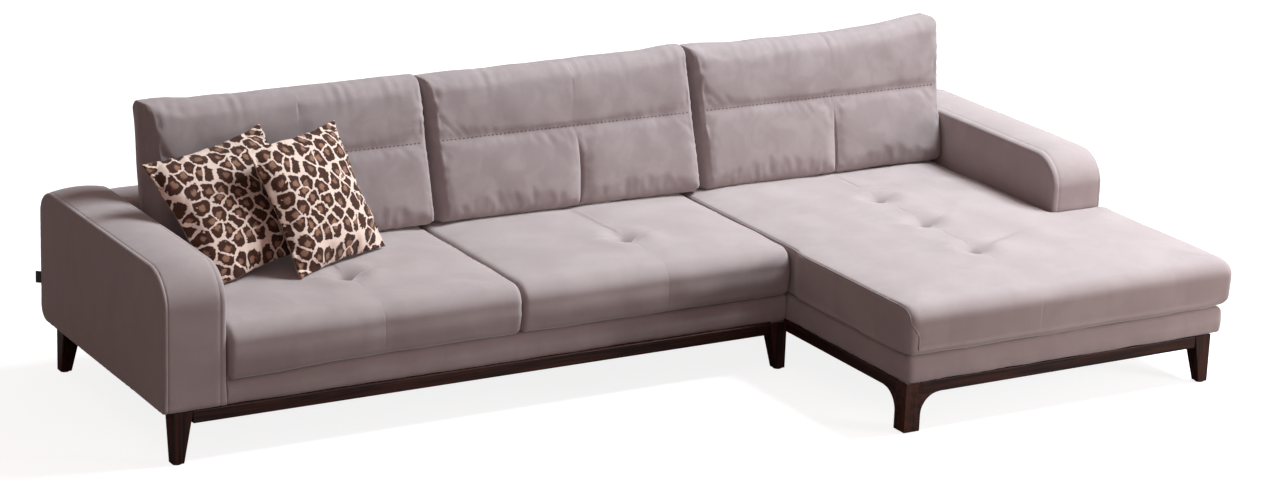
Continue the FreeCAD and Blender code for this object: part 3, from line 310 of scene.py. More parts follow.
@dataclass
class PaddedForm:
    """A closed padded form: two end panels with the same outline and a wrap between them.

    Attributes:
        outline: The outline of both panels.
        rings: Places of the wrap's rings from the lower panel to the upper, in metres.
        lower_roll: Radius of the edge at the lower panel, by place on the outline.
        upper_roll: Radius of the edge at the upper panel, by place on the outline.
        lay: How the form lies in the frame.
        notch: Cell from which a corner is left out of the panels, or None.
        start_lines: With a notch, the grid lines in u and v that the panels start from.
        roll_steps: Number of steps round each edge.
        upper_edge: Outline of the upper panel inside its edge, or None to follow the roll.
    """

    outline: Outline
    rings: Points
    lower_roll: Roll
    upper_roll: Roll
    lay: Lay = Lay.ALONG_X
    notch: tuple[int, int] | None = None
    start_lines: tuple[Points, Points] | None = None
    roll_steps: int = 5
    upper_edge: Outline | None = None

    def __post_init__(self) -> None:
        """Count the panels' cells."""
        stations = self.outline.stations
        self.grid = (len(stations[0]) - 1, len(stations[-1]) - 1)
        self.cells = border_cells(*self.grid, self.notch)

    def panel(self, edge: Points) -> Points:
        """Fill the outline with a grid.

        Args:
            edge: The outline's points, already drawn in by the roll.

        Returns:
            Plan places of the whole grid, as an array of grid u, grid v and two numbers.
        """
        wide, high = self.grid
        flat = np.zeros((wide + 1, high + 1, 2))
        for cell, place in zip(self.cells, edge):
            flat[cell] = place
        if self.notch:
            return self.relaxed(flat)
        along = self.outline.stations[0][:, None, None]
        up = self.outline.stations[1][None, :, None]
        corners = ((1 - along) * (1 - up) * flat[:1, :1] + along * (1 - up) * flat[-1:, :1]
                   + (1 - along) * up * flat[:1, -1:] + along * up * flat[-1:, -1:])
        filled = ((1 - up) * flat[:, :1] + up * flat[:, -1:] + (1 - along) * flat[:1]
                  + along * flat[-1:] - corners)
        for cell in self.cells:
            filled[cell] = flat[cell]
        return filled

    def relaxed(self, flat: Points) -> Points:
        """Spread the border's shift evenly over a panel with a notch.

        Args:
            flat: The panel's grid, right at its border.

        Returns:
            The grid, right all over.
        """
        start = np.stack(np.meshgrid(*self.start_lines, indexing="ij"), -1)
        shift = np.zeros_like(start)
        held = np.zeros(start.shape[:2], bool)
        for cell in self.cells:
            shift[cell] = flat[cell] - start[cell]
            held[cell] = True
        column, row = self.notch
        held[column:, row:] = True
        fixed = shift.copy()
        for _ in range(400):
            spread = shift.copy()
            spread[1:-1, 1:-1] = (shift[2:, 1:-1] + shift[:-2, 1:-1]
                                  + shift[1:-1, 2:] + shift[1:-1, :-2]) / 4
            shift = np.where(held[..., None], fixed, spread)
        return start + shift

    def wrap(self) -> tuple[list[Points], Points, Points]:
        """Rings of the wrap in plan and thickness, and the edges of both panels.

        Returns:
            The rings, the lower panel's edge and the upper panel's edge.
        """
        loop, outward = self.outline.trace()
        lower_radius, upper_radius = self.lower_roll(loop), self.upper_roll(loop)
        angles = np.radians(np.linspace(0, 90, self.roll_steps + 1))[1:]
        low_end, high_end = self.rings[0], self.rings[-1]
        profile = [(lower_radius * (1 - math.sin(angle)),
                    low_end + lower_radius * (1 - math.cos(angle))) for angle in angles]
        low_side, high_side = low_end + lower_radius, high_end - upper_radius
        for place in self.rings[1:-1]:
            height = np.full(len(loop), place)
            if self.lay is Lay.UPRIGHT:
                share = (place - low_end) / (high_end - low_end)
                height = np.clip(low_side + (high_side - low_side) * share,
                                 low_side + 1e-5, high_side - 1e-5)
            profile.append((np.zeros(len(loop)), height))
        rows = [np.column_stack((loop - outward * inset[:, None], height))
                for inset, height in profile]
        top_edge = loop - outward * upper_radius[:, None]
        if self.upper_edge:
            top_edge = self.upper_edge.trace()[0]
        for angle in reversed(angles):
            drawn_in = loop + (top_edge - loop) * (1 - math.sin(angle))
            height = high_end - upper_radius * (1 - math.cos(angle))
            rows.append(np.column_stack((drawn_in, height)))
        return rows, loop - outward * lower_radius[:, None], top_edge

    def build(self) -> tuple[Points, list[Face]]:
        """Work out the form.

        Returns:
            The points in the frame's axes and the faces.
        """
        rows, low_edge, top_edge = self.wrap()
        wide, high = self.grid
        used, kept = np.ones((wide + 1, high + 1), bool), np.ones((wide, high), bool)
        if self.notch:
            column, row = self.notch
            used[column + 1:, row + 1:] = False
            kept[column:, row:] = False
        index = np.cumsum(used.ravel()).reshape(used.shape) - 1
        size = int(used.sum())
        panels = [np.concatenate((self.panel(edge), np.full((*used.shape, 1), end)), -1)[used]
                  for edge, end in ((low_edge, self.rings[0]), (top_edge, self.rings[-1]))]
        local = np.vstack(panels + rows)
        faces: list[Face] = []
        for quad in grid_quads(index, kept):
            faces += [quad[::-1], moved_on(quad, size)]
        edge = [int(index[cell]) for cell in self.cells]
        count = len(edge)
        bands = [edge] + [[2 * size + ring * count + n for n in range(count)]
                          for ring in range(len(rows))] + [[size + n for n in edge]]
        for near, far in zip(bands, bands[1:]):
            for n in range(count):
                after = (n + 1) % count
                faces.append((near[n], near[after], far[after], far[n]))
        points = np.zeros_like(local)
        points[:, list(self.lay.value)] = local
        return points, faces


def point_normals(points: Points, faces: Points) -> Points:
    """Outward direction at each point of a closed mesh of quads.

    Args:
        points: The mesh's points.
        faces: The four points of each quad.

    Returns:
        Unit direction at each point.
    """
    corner = [points[faces[:, n]] for n in range(4)]
    across = np.cross(corner[2] - corner[0], corner[3] - corner[1])
    total = np.zeros_like(points)
    for axis in range(3):
        for corner in range(4):
            total[:, axis] += np.bincount(faces[:, corner], across[:, axis], len(points))
    return unit(total)


def enclosed(points: Points, faces: Points) -> float:
    """Six times the volume in a closed mesh of quads, below 0 when its faces look inwards.

    Args:
        points: The mesh's points.
        faces: The four points of each quad.

    Returns:
        Six times the volume.
    """
    corner = [points[faces[:, n]] for n in range(4)]
    halves = np.cross(corner[1], corner[2]) + np.cross(corner[2], corner[3])
    return float(np.einsum("ij,ij->", corner[0], halves))


def nearest_on_line(points: Points, line: Points, closed: bool = False) -> tuple[Points, Points]:
    """Distance from each point to a line of short runs, and how far along the nearest place is.

    Args:
        points: The points.
        line: The line's own points.
        closed: Whether it runs back to its start.

    Returns:
        The distance and the length along the line, for each point.
    """
    ends = np.vstack((line, line[:1])) if closed else line
    starts, runs = ends[:-1], np.diff(ends, axis=0)
    lengths = np.linalg.norm(runs, axis=1)
    before = np.concatenate(([0], np.cumsum(lengths)[:-1]))
    best = np.full(len(points), np.inf)
    along = np.zeros(len(points))
    for start, run, length, offset in zip(starts, runs, lengths, before):
        share = np.clip(((points - start) @ run) / max(length * length, TINY), 0, 1)
        gap = np.linalg.norm(points - start - share[:, None] * run, axis=1)
        closer = gap < best
        best = np.where(closer, gap, best)
        along = np.where(closer, offset + share * length, along)
    return best, along


@dataclass
class Skin:
    """Points and faces of one soft piece while it is shaped."""

    points: Points
    faces: list[Face]

    def __post_init__(self) -> None:
        """Turn the faces outwards."""
        self.quads = np.array(self.faces)
        if enclosed(self.points, self.quads) < 0:
            self.quads = self.quads[:, ::-1].copy()
            self.faces = [tuple(face) for face in self.quads.tolist()]

    def normals(self) -> Points:
        """Outward direction at each point."""
        return point_normals(self.points, self.quads)

    def push(self, move: Points) -> None:
        """Move each point outwards by its own amount."""
        self.points = self.points + self.normals() * move[:, None]

    def seam(self, line: Points, depth: float, width: float, lip: float = 0.0,
             closed: bool = False) -> None:
        """Press a seam into the skin.

        Args:
            line: Places along the seam.
            depth: How deep it is.
            width: Distance over which it fades.
            lip: How far the fabric stands up beside it.
            closed: Whether it runs round.
        """
        gap, _ = nearest_on_line(self.points, line, closed)
        self.push(-depth * bell(gap, width) + lip * bell(gap - 2.2 * width, width))

    def pucker(self, line: Points, height: float, reach: float, wavelength: float, seed: int,
               closed: bool = False) -> None:
        """Gather the fabric in small folds that run away from a seam.

        Args:
            line: Places along the seam.
            height: Height of the folds at the seam.
            reach: Distance over which they fade.
            wavelength: Mean distance between folds.
            seed: Picks the pattern.
            closed: Whether the seam runs round.
        """
        gap, along = nearest_on_line(self.points, line, closed)
        ripple = soft_field(along[:, None], wavelength, seed)
        patch = 0.55 + 0.45 * soft_field(along[:, None], wavelength * 7, seed + 1)
        fade = np.exp(-(gap / reach) ** 1.3)
        self.push(height * ripple * patch * fade * smooth_step(0, 0.004, gap))

    def waver(self, height: float, wavelength: float, seed: int) -> None:
        """Give the whole skin soft uneven waves."""
        self.push(height * soft_field(self.points, wavelength, seed))

    def lift(self, amount: Callable[[Points, Points], Points]) -> None:
        """Move each point by what a rule gives for the places and their directions."""
        self.points = self.points + amount(self.points, self.normals())

    def settle(self, held: Points, pressure: float, slack: float, cap: float,
               frames: int = 16) -> None:
        """Blow the skin up as real cloth over its filling, with its seams held.

        Args:
            held: How firmly each point is held, from 0 to 1.
            pressure: Pressure of the filling.
            slack: How much longer the cloth is than the form, as a share.
            cap: The furthest that a point may move.
            frames: Number of steps.
        """
        mesh = bpy.data.meshes.new("settling")
        mesh.from_pydata(self.points.tolist(), [], self.faces)
        cloth = bpy.data.objects.new("settling", mesh)
        scene = bpy.context.scene
        scene.collection.objects.link(cloth)
        group = cloth.vertex_groups.new(name="held")
        levels = np.round(held, 1)
        for level in np.unique(levels[levels > 0]):
            group.add(np.nonzero(levels == level)[0].tolist(), float(level), "REPLACE")
        sim = cloth.modifiers.new("cloth", "CLOTH")
        for key, value in {
                "quality": 4, "mass": 0.25, "tension_stiffness": 25.0,
                "compression_stiffness": 8.0, "shear_stiffness": 6.0, "bending_stiffness": 0.4,
                "use_pressure": True, "uniform_pressure_force": pressure, "shrink_min": -slack,
                "vertex_group_mass": "held"}.items():
            setattr(sim.settings, key, value)
        sim.settings.effector_weights.gravity = 0.0
        sim.collision_settings.use_collision = False
        sim.point_cache.frame_start = 1
        sim.point_cache.frame_end = frames + 1
        for number in range(1, frames + 1):
            scene.frame_set(number)
        shaped = cloth.evaluated_get(bpy.context.evaluated_depsgraph_get()).to_mesh()
        moved = np.zeros(len(self.points) * 3)
        shaped.vertices.foreach_get("co", moved)
        move = moved.reshape(-1, 3) - self.points
        length = np.linalg.norm(move, axis=1, keepdims=True)
        self.points = self.points + move * np.minimum(1, cap / np.maximum(length, 1e-9))
        bpy.data.objects.remove(cloth)
        bpy.data.meshes.remove(mesh)
        scene.frame_set(1)


def new_object(name: str, points: Points, faces: Sequence[Face], material: bpy.types.Material,
               smooth: bool = True) -> bpy.types.Object:
    """Make a mesh object with its faces turned outwards.

    Args:
        name: The piece's name.
        points: Its places in metres.
        faces: Its faces.
        material: Its finish.
        smooth: Whether it is shaded smooth.

    Returns:
        The new object, linked to the scene.
    """
    points = np.asarray(points, float)
    mesh = bpy.data.meshes.new(name)
    mesh.from_pydata(points.tolist(), [], faces)
    mesh.validate()
    corners = [(*face, *(face[-1:] * (4 - len(face)))) for face in faces if len(face) < 5]
    if enclosed(points, np.array(corners)) < 0:
        mesh.flip_normals()
    mesh.polygons.foreach_set("use_smooth", [smooth] * len(mesh.polygons))
    mesh.materials.append(material)
    mesh.update()
    piece = bpy.data.objects.new(name, mesh)
    bpy.context.scene.collection.objects.link(piece)
    return piece


def tube(line: Points, radius: float, sides: int = 8) -> tuple[Points, list[Face]]:
    """Round tube along an open line of points.

    Args:
        line: Places along its middle.
        radius: Its radius.
        sides: Number of its sides.

    Returns:
        Points and faces.
    """
    count = len(line)
    side = unit(np.cross(unit(np.gradient(line, axis=0)), np.array((0.13, 0.21, 0.97))))
    top = np.cross(side, unit(np.gradient(line, axis=0)))
    angles = np.linspace(0, math.tau, sides, endpoint=False)
    rings = [line + radius * (math.cos(a) * side + math.sin(a) * top) for a in angles]
    faces = []
    for n in range(0, (count - 1) * sides, sides):
        for s in range(sides):
            t = (s + 1) % sides
            faces.append((n + s, n + sides + s, n + sides + t, n + t))
    faces.append(tuple(range(sides)))
    faces.append(tuple((count - 1) * sides + s for s in reversed(range(sides))))
    return np.stack(rings, 1).reshape(-1, 3), faces


def surface_of(piece: bpy.types.Object) -> BVHTree:
    """Search tree of a piece's surface.

    Args:
        piece: The piece.

    Returns:
        The tree.
    """
    mesh = piece.data
    return BVHTree.FromPolygons([v.co for v in mesh.vertices],
                                [tuple(p.vertices) for p in mesh.polygons])


class ShaderDraft:
    """Fills one node tree."""

    def __init__(self, tree: bpy.types.NodeTree) -> None:
        """Start on a tree."""
        self.tree = tree

    @classmethod
    def blank(cls, owner: bpy.types.Material | bpy.types.World) -> "ShaderDraft":
        """Clear an owner's nodes and start on them.

        Args:
            owner: What holds the nodes.

        Returns:
            The draft.
        """
        owner.use_nodes = True
        owner.node_tree.nodes.clear()
        return cls(owner.node_tree)

    def node(self, kind: str, inputs: dict[str | int, object] | None = None,
             **settings: object) -> bpy.types.Node:
        """Add a node.

        Args:
            kind: Its type without the ShaderNode prefix.
            inputs: Sockets to set or to link to another socket.
            **settings: Its own properties.

        Returns:
            The node.
        """
        made = self.tree.nodes.new("ShaderNode" + kind)
        for key, value in settings.items():
            setattr(made, key, value)
        self.fill(made.inputs, inputs or {})
        return made

    def fill(self, sockets: bpy.types.NodeInputs, values: dict[str | int, object]) -> None:
        """Set each named socket, or link it to another one.

        Args:
            sockets: The node's sockets.
            values: Value or other socket for each name.
        """
        for key, value in values.items():
            if isinstance(value, bpy.types.NodeSocket):
                self.tree.links.new(value, sockets[key])
            else:
                sockets[key].default_value = value

    def math(self, operation: str, first: object, second: object) -> bpy.types.NodeSocket:
        """Work out a sum of two values."""
        return self.node("Math", {0: first, 1: second}, operation=operation).outputs[0]

    def times(self, first: object, second: object) -> bpy.types.NodeSocket:
        """Multiply two values."""
        return self.math("MULTIPLY", first, second)

    def plus(self, first: object, second: object) -> bpy.types.NodeSocket:
        """Add two values."""
        return self.math("ADD", first, second)

    def less(self, first: object, second: object) -> bpy.types.NodeSocket:
        """Take the second value from the first."""
        return self.math("SUBTRACT", first, second)

    def vector(self, operation: str, first: object, key: str | int,
               second: object) -> bpy.types.NodeSocket:
        """Work out a vector from a vector and what goes into a second socket."""
        return self.node("VectorMath", {0: first, key: second}, operation=operation).outputs[0]

    def place(self, kind: str = "Object") -> bpy.types.NodeSocket:
        """Give the place on the piece, in its own space or on its cloth."""
        return self.node("TexCoord").outputs[kind]

    def ramp(self, value: object, low: float, high: float) -> bpy.types.NodeSocket:
        """Stretch the span from low to high over 0 to 1."""
        return self.node("MapRange", {"Value": value, "From Min": low, "From Max": high},
                         interpolation_type="SMOOTHSTEP").outputs["Result"]

    def mix(self, share: object, first: object, second: object) -> bpy.types.NodeSocket:
        """Mix two colours by a share."""
        return self.node("Mix", {0: share, 6: first, 7: second}, data_type="RGBA").outputs[2]

    def noise(self, vector: object, scale: object, detail: float = 3.0,
              distortion: float = 0.0) -> bpy.types.NodeSocket:
        """Add noise and give its value."""
        return self.node("TexNoise", {"Vector": vector, "Scale": scale, "Detail": detail,
                                      "Distortion": distortion}).outputs["Fac"]

    def threads(self, place: object, scale: object, distortion: float,
                axes: str) -> list[bpy.types.NodeSocket]:
        """Give the rows of thread that run across each axis."""
        inputs = {"Vector": place, "Scale": scale, "Distortion": distortion}
        return [self.node("TexWave", inputs, bands_direction=axis).outputs["Fac"] for axis in axes]

    def effect(self, group: bpy.types.NodeTree,
               values: dict[str | int, object]) -> bpy.types.NodeOutputs:
        """Place a shared effect with its own values.

        Args:
            group: The effect.
            values: Value or other socket for each input.

        Returns:
            Its outputs.
        """
        made = self.node("Group", node_tree=group)
        self.fill(made.inputs, values)
        return made.outputs


class GroupDraft(ShaderDraft):
    """Fills one shared effect.

    Attributes:
        given: What the group is given, by name.
    """

    def __init__(self, name: str, inputs: dict[str, object], outputs: Sequence[str]) -> None:
        """Make an empty group with its sockets.

        Args:
            name: The group's name.
            inputs: Usual value of each input: a number, a vector or a colour.
            outputs: Name of each output. Colour is a colour, and the others are numbers.
        """
        super().__init__(bpy.data.node_groups.new(name, "ShaderNodeTree"))
        new_socket = self.tree.interface.new_socket
        for label, value in inputs.items():
            size = len(value) if isinstance(value, tuple) else 1
            kind = {1: "Float", 3: "Vector", 4: "Color"}[size]
            socket = new_socket(label, in_out="INPUT", socket_type="NodeSocket" + kind)
            socket.default_value = value
        for label in outputs:
            kind = "Color" if label == "Colour" else "Float"
            new_socket(label, in_out="OUTPUT", socket_type="NodeSocket" + kind)
        self.given = self.tree.nodes.new("NodeGroupInput").outputs
        self.result = self.tree.nodes.new("NodeGroupOutput").inputs

    def close(self, **values: bpy.types.NodeSocket) -> bpy.types.NodeTree:
        """Link the results and give the finished group."""
        self.fill(self.result, values)
        return self.tree


def rgba(colour: Colour) -> tuple[float, float, float, float]:
    """Colour with full cover, from values as a screen shows them."""
    linear = [c / 12.92 if c <= 0.04045 else ((c + 0.055) / 1.055) ** 2.4 for c in colour]
    return (*linear, 1.0)


class EffectGroups:
    """The shared surface effects, each built once as a node group."""

    def __init__(self) -> None:
        """Build every group."""
        self.nap = self.build_nap()
        self.pile = self.build_pile()
        self.grain = self.build_grain()
        self.spots = self.build_spots()
        self.weave = self.build_weave()
        self.speckle = self.build_speckle()

    @staticmethod
    def build_nap() -> bpy.types.NodeTree:
        """Brushed short pile: cloudy patches and soft streaks where hands turned the nap.

        Returns:
            The finished group.
        """
        draft = GroupDraft("brushed_nap", {
            "Ground": (0.3, 0.25, 0.25, 1), "Brushed": (0.4, 0.35, 0.35, 1),
            "Turned": (0.2, 0.15, 0.15, 1), "Patch": 5.0, "Amount": 0.5, "Fibre": 900.0},
            ("Colour", "Mask"))
        given, place = draft.given, draft.place()
        clouds = draft.ramp(draft.noise(place, given["Patch"], 4.0, 0.6), 0.38, 0.66)
        combed = draft.node("Mapping", {"Vector": place, "Scale": (26.0, 26.0, 5.0),
                                        "Rotation": (0.2, 0.1, 0.35)}).outputs[0]
        streaks = draft.ramp(draft.noise(combed, 1.0, 3.0, 0.4), 0.5, 0.78)
        fibres = draft.ramp(draft.noise(place, given["Fibre"], 2.0), 0.3, 0.7)
        colour = draft.mix(draft.times(clouds, given["Amount"]), given["Ground"], given["Brushed"])
        streaks = draft.times(streaks, draft.times(given["Amount"], 0.5))
        colour = draft.mix(streaks, colour, given["Turned"])
        colour = draft.mix(draft.times(fibres, 0.22), colour, given["Turned"])
        return draft.close(Colour=colour, Mask=clouds)

    @staticmethod
    def build_pile() -> bpy.types.NodeTree:
        """Height of a short pile over a fine ground weave.

        Returns:
            The finished group.
        """
        draft = GroupDraft("short_pile", {"Fibre": 1400.0, "Threads": 620.0}, ("Height",))
        given, place = draft.given, draft.place()
        fibres = draft.noise(place, given["Fibre"], 2.0)
        tufts = draft.noise(place, draft.times(given["Fibre"], 0.22), 3.0)
        woven = draft.times(*draft.threads(place, given["Threads"], 1.5, "XZ"))
        height = draft.plus(draft.times(fibres, 0.6), draft.times(tufts, 0.7))
        return draft.close(Height=draft.plus(height, draft.times(woven, 0.2)))

    @staticmethod
    def build_grain() -> bpy.types.NodeTree:
        """Wood grain along one axis, with pores and edges rubbed a little lighter.

        Returns:
            The finished group.
        """
        draft = GroupDraft("wood_grain", {
            "Early": (0.05, 0.02, 0.02, 1), "Late": (0.02, 0.01, 0.01, 1),
            "Rubbed": (0.12, 0.06, 0.05, 1), "Stretch": (3.0, 60.0, 60.0), "Wear": 0.5},
            ("Colour", "Height", "Dull"))
        given, place = draft.given, draft.place()
        along = draft.vector("MULTIPLY", place, 1, given["Stretch"])
        bands = draft.ramp(draft.noise(along, 1.0, 5.0, 1.2), 0.36, 0.64)
        pores = draft.ramp(draft.noise(along, 7.0, 2.0), 0.56, 0.72)
        colour = draft.mix(bands, given["Early"], given["Late"])
        colour = draft.mix(draft.times(pores, 0.5), colour, given["Late"])
        edges = draft.ramp(draft.node("NewGeometry").outputs["Pointiness"], 0.52, 0.6)
        edges = draft.times(edges, draft.ramp(draft.noise(place, 60.0), 0.35, 0.6))
        colour = draft.mix(draft.times(edges, given["Wear"]), colour, given["Rubbed"])
        dull = draft.plus(0.34, draft.times(draft.noise(place, 14.0), 0.22))
        return draft.close(Colour=colour, Height=draft.less(draft.times(bands, 0.4), pores),
                           Dull=dull)

    @staticmethod
    def build_spots() -> bpy.types.NodeTree:
        """Printed rosettes: pale net, dark broken rings and mid brown hearts.

        Returns:
            The finished group.
        """
        draft = GroupDraft("rosette_print", {
            "Net": (0.8, 0.6, 0.5, 1), "Ring": (0.05, 0.02, 0.01, 1),
            "Heart": (0.25, 0.14, 0.1, 1), "Count": 26.0}, ("Colour", "Mask"))
        given, place = draft.given, draft.place("UV")
        blur = draft.node("TexNoise", {"Vector": place, "Scale": 48.0, "Detail": 2.0})
        shift = draft.vector("SUBTRACT", blur.outputs["Color"], 1, (0.5, 0.5, 0.5))
        moved = draft.vector("ADD", place, 1, draft.vector("SCALE", shift, "Scale", 0.022))

        def cells(feature: str) -> bpy.types.NodeOutputs:
            """Irregular cells that the rosettes are set in.

            Args:
                feature: What is measured in each cell.

            Returns:
                The cells' outputs.
            """
            inputs = {"Vector": moved, "Scale": given["Count"], "Randomness": 1.0}
            return draft.node("TexVoronoi", inputs, voronoi_dimensions="2D",
                              feature=feature).outputs

        edge, cell = cells("DISTANCE_TO_EDGE")["Distance"], cells("F1")
        chance = draft.node("SeparateColor", {"Color": cell["Color"]}).outputs[0]
        rough = draft.less(draft.noise(place, 95.0), 0.5)
        fuzz = draft.noise(place, 700.0, 2.0)
        fuzzy = draft.plus(draft.times(rough, 0.34), draft.times(draft.less(fuzz, 0.5), 0.10))
        far = draft.plus(cell["Distance"], fuzzy)
        reach = draft.plus(0.57, draft.times(chance, 0.13))
        blob = draft.ramp(draft.less(reach, far), -0.02, 0.03)
        parted = draft.ramp(draft.plus(edge, draft.times(rough, 0.24)), 0.062, 0.090)
        ringed = draft.ramp(chance, 0.25, 0.32)
        heart = draft.times(draft.ramp(draft.less(0.27, far), 0.0, 0.14), ringed)
        breaks = draft.times(draft.ramp(draft.noise(place, 58.0, 1.0), 0.72, 0.78), ringed)
        cover = draft.times(draft.times(blob, parted), draft.less(1.0, breaks))
        colour = draft.mix(heart, given["Ring"], given["Heart"])
        colour = draft.mix(cover, given["Net"], colour)
        colour = draft.mix(draft.times(draft.ramp(fuzz, 0.45, 0.8), 0.3), colour, given["Heart"])
        return draft.close(Colour=colour, Mask=cover)

    @staticmethod
    def build_weave() -> bpy.types.NodeTree:
        """Plain weave seen close: threads over and under along two axes.

        Returns:
            The finished group.
        """
        draft = GroupDraft("plain_weave", {
            "Warp": (0.05, 0.05, 0.05, 1), "Weft": (0.03, 0.03, 0.03, 1), "Threads": 300.0},
            ("Colour", "Height"))
        given, place = draft.given, draft.place()
        rows = draft.threads(place, given["Threads"], 0.6, "XY")
        over = draft.ramp(draft.less(*rows), -0.4, 0.4)
        dusty = draft.ramp(draft.noise(place, 9.0), 0.35, 0.75)
        colour = draft.mix(over, given["Warp"], given["Weft"])
        colour = draft.mix(draft.times(dusty, 0.25), colour, given["Warp"])
        return draft.close(Colour=colour, Height=draft.math("MAXIMUM", *rows))

    @staticmethod
    def build_speckle() -> bpy.types.NodeTree:
        """Fine uneven tone and height of metal, plastic and felt.

        Returns:
            The finished group.
        """
        draft = GroupDraft("speckle", {
            "Ground": (0.5, 0.5, 0.5, 1), "Fleck": (0.4, 0.4, 0.4, 1), "Size": 300.0},
            ("Colour", "Height", "Dull"))
        given, place = draft.given, draft.place()
        fine = draft.noise(place, given["Size"], 4.0)
        broad = draft.ramp(draft.noise(place, 12.0), 0.35, 0.7)
        colour = draft.mix(draft.ramp(fine, 0.42, 0.62), given["Ground"], given["Fleck"])
        colour = draft.mix(draft.times(broad, 0.4), colour, given["Fleck"])
        return draft.close(Colour=colour, Height=fine,
                           Dull=draft.plus(0.3, draft.times(fine, 0.3)))


@dataclass(frozen=True)
class Finish:
    """What every finish has.

    Attributes:
        name: Name of the material.
    """

    name: str

    def make(self, groups: EffectGroups) -> bpy.types.Material:
        """Build the material.

        Args:
            groups: The shared effects.

        Returns:
            The material.
        """
        material = bpy.data.materials.new(self.name)
        draft = ShaderDraft.blank(material)
        sockets, height, strength, distance = self.parts(draft, groups)
        bump = draft.node("Bump", {"Height": height, "Strength": strength, "Distance": distance})
        shader = draft.node("BsdfPrincipled", {**sockets, "Normal": bump.outputs[0]})
        draft.node("OutputMaterial", {"Surface": shader.outputs[0]})
        return material

    def parts(self, draft: ShaderDraft, groups: EffectGroups) -> Surface:
        """The main shader's sockets, and the height, strength and distance of the relief."""
        raise NotImplementedError


@dataclass(frozen=True)
class NapFinish(Finish):
    """Short-pile upholstery fabric."""

    ground: Colour = (0.62, 0.56, 0.56)
    brushed: Colour = (0.70, 0.645, 0.64)
    turned: Colour = (0.54, 0.485, 0.48)
    patch: float = 7.0
    amount: float = 0.38
    sheen: float = 0.5

    def parts(self, draft: ShaderDraft, groups: EffectGroups) -> Surface:
        """Brushed nap over short pile.

        Args:
            draft: Where its nodes go.
            groups: The shared effects.

        Returns:
            The main shader's sockets, and the relief's height, strength and distance.
        """
        nap = draft.effect(groups.nap, {
            "Ground": rgba(self.ground), "Brushed": rgba(self.brushed),
            "Turned": rgba(self.turned), "Patch": self.patch, "Amount": self.amount})
        pile = draft.effect(groups.pile, {})
        return {"Base Color": nap["Colour"], "Roughness": draft.ramp(nap["Mask"], -3.0, 1.6),
                "Sheen Weight": self.sheen, "Sheen Roughness": 0.38,
                "Sheen Tint": (1.0, 0.95, 0.94, 1.0),
                "Specular IOR Level": 0.2}, pile["Height"], 0.35, 0.0006


@dataclass(frozen=True)
class PrintFinish(Finish):
    """Plush printed with rosettes."""

    net: Colour = (0.88, 0.78, 0.73)
    ring: Colour = (0.215, 0.10, 0.06)
    heart: Colour = (0.55, 0.40, 0.325)
    count: float = 21.0

    def parts(self, draft: ShaderDraft, groups: EffectGroups) -> Surface:
        """Print over long pile.

        Args:
            draft: Where its nodes go.
            groups: The shared effects.

        Returns:
            The main shader's sockets, and the relief's height, strength and distance.
        """
        spots = draft.effect(groups.spots, {
            "Net": rgba(self.net), "Ring": rgba(self.ring), "Heart": rgba(self.heart),
            "Count": self.count})
        pile = draft.effect(groups.pile, {"Fibre": 700.0, "Threads": 400.0})
        return {"Base Color": spots["Colour"], "Roughness": 0.85, "Sheen Weight": 0.10,
                "Sheen Roughness": 0.45, "Specular IOR Level": 0.15}, pile["Height"], 0.6, 0.0015


class GrainAxis(Enum):
    """Which way the grain of a wooden piece runs, as the stretch of its pattern."""

    X = (2.5, 70.0, 70.0)
    Y = (70.0, 2.5, 70.0)
    Z = (70.0, 70.0, 2.5)


@dataclass(frozen=True)
class WoodFinish(Finish):
    """Wood with grain along one axis."""

    axis: GrainAxis = GrainAxis.X
    early: Colour = (0.24, 0.118, 0.086)
    late: Colour = (0.10, 0.042, 0.03)
    rubbed: Colour = (0.34, 0.21, 0.17)
    wear: float = 0.4
    coat: float = 0.03

    def parts(self, draft: ShaderDraft, groups: EffectGroups) -> Surface:
        """Grain under a thin coat.

        Args:
            draft: Where its nodes go.
            groups: The shared effects.

        Returns:
            The main shader's sockets, and the relief's height, strength and distance.
        """
        grain = draft.effect(groups.grain, {
            "Early": rgba(self.early), "Late": rgba(self.late), "Rubbed": rgba(self.rubbed),
            "Stretch": self.axis.value, "Wear": self.wear})
        return {"Base Color": grain["Colour"], "Roughness": grain["Dull"],
                "Specular IOR Level": 0.22, "Coat Weight": self.coat,
                "Coat Roughness": 0.3}, grain["Height"], 0.2, 0.0004


@dataclass(frozen=True)
class WeaveFinish(Finish):
    """Plainly woven cloth or strap."""

    warp: Colour = (0.2, 0.2, 0.21)
    weft: Colour = (0.13, 0.13, 0.135)
    threads: float = 260.0

    def parts(self, draft: ShaderDraft, groups: EffectGroups) -> Surface:
        """Plain weave.

        Args:
            draft: Where its nodes go.
            groups: The shared effects.

        Returns:
            The main shader's sockets, and the relief's height, strength and distance.
        """
        weave = draft.effect(groups.weave, {
            "Warp": rgba(self.warp), "Weft": rgba(self.weft), "Threads": self.threads})
        return {"Base Color": weave["Colour"], "Roughness": 0.8,
                "Sheen Weight": 0.1}, weave["Height"], 0.4, 0.0005


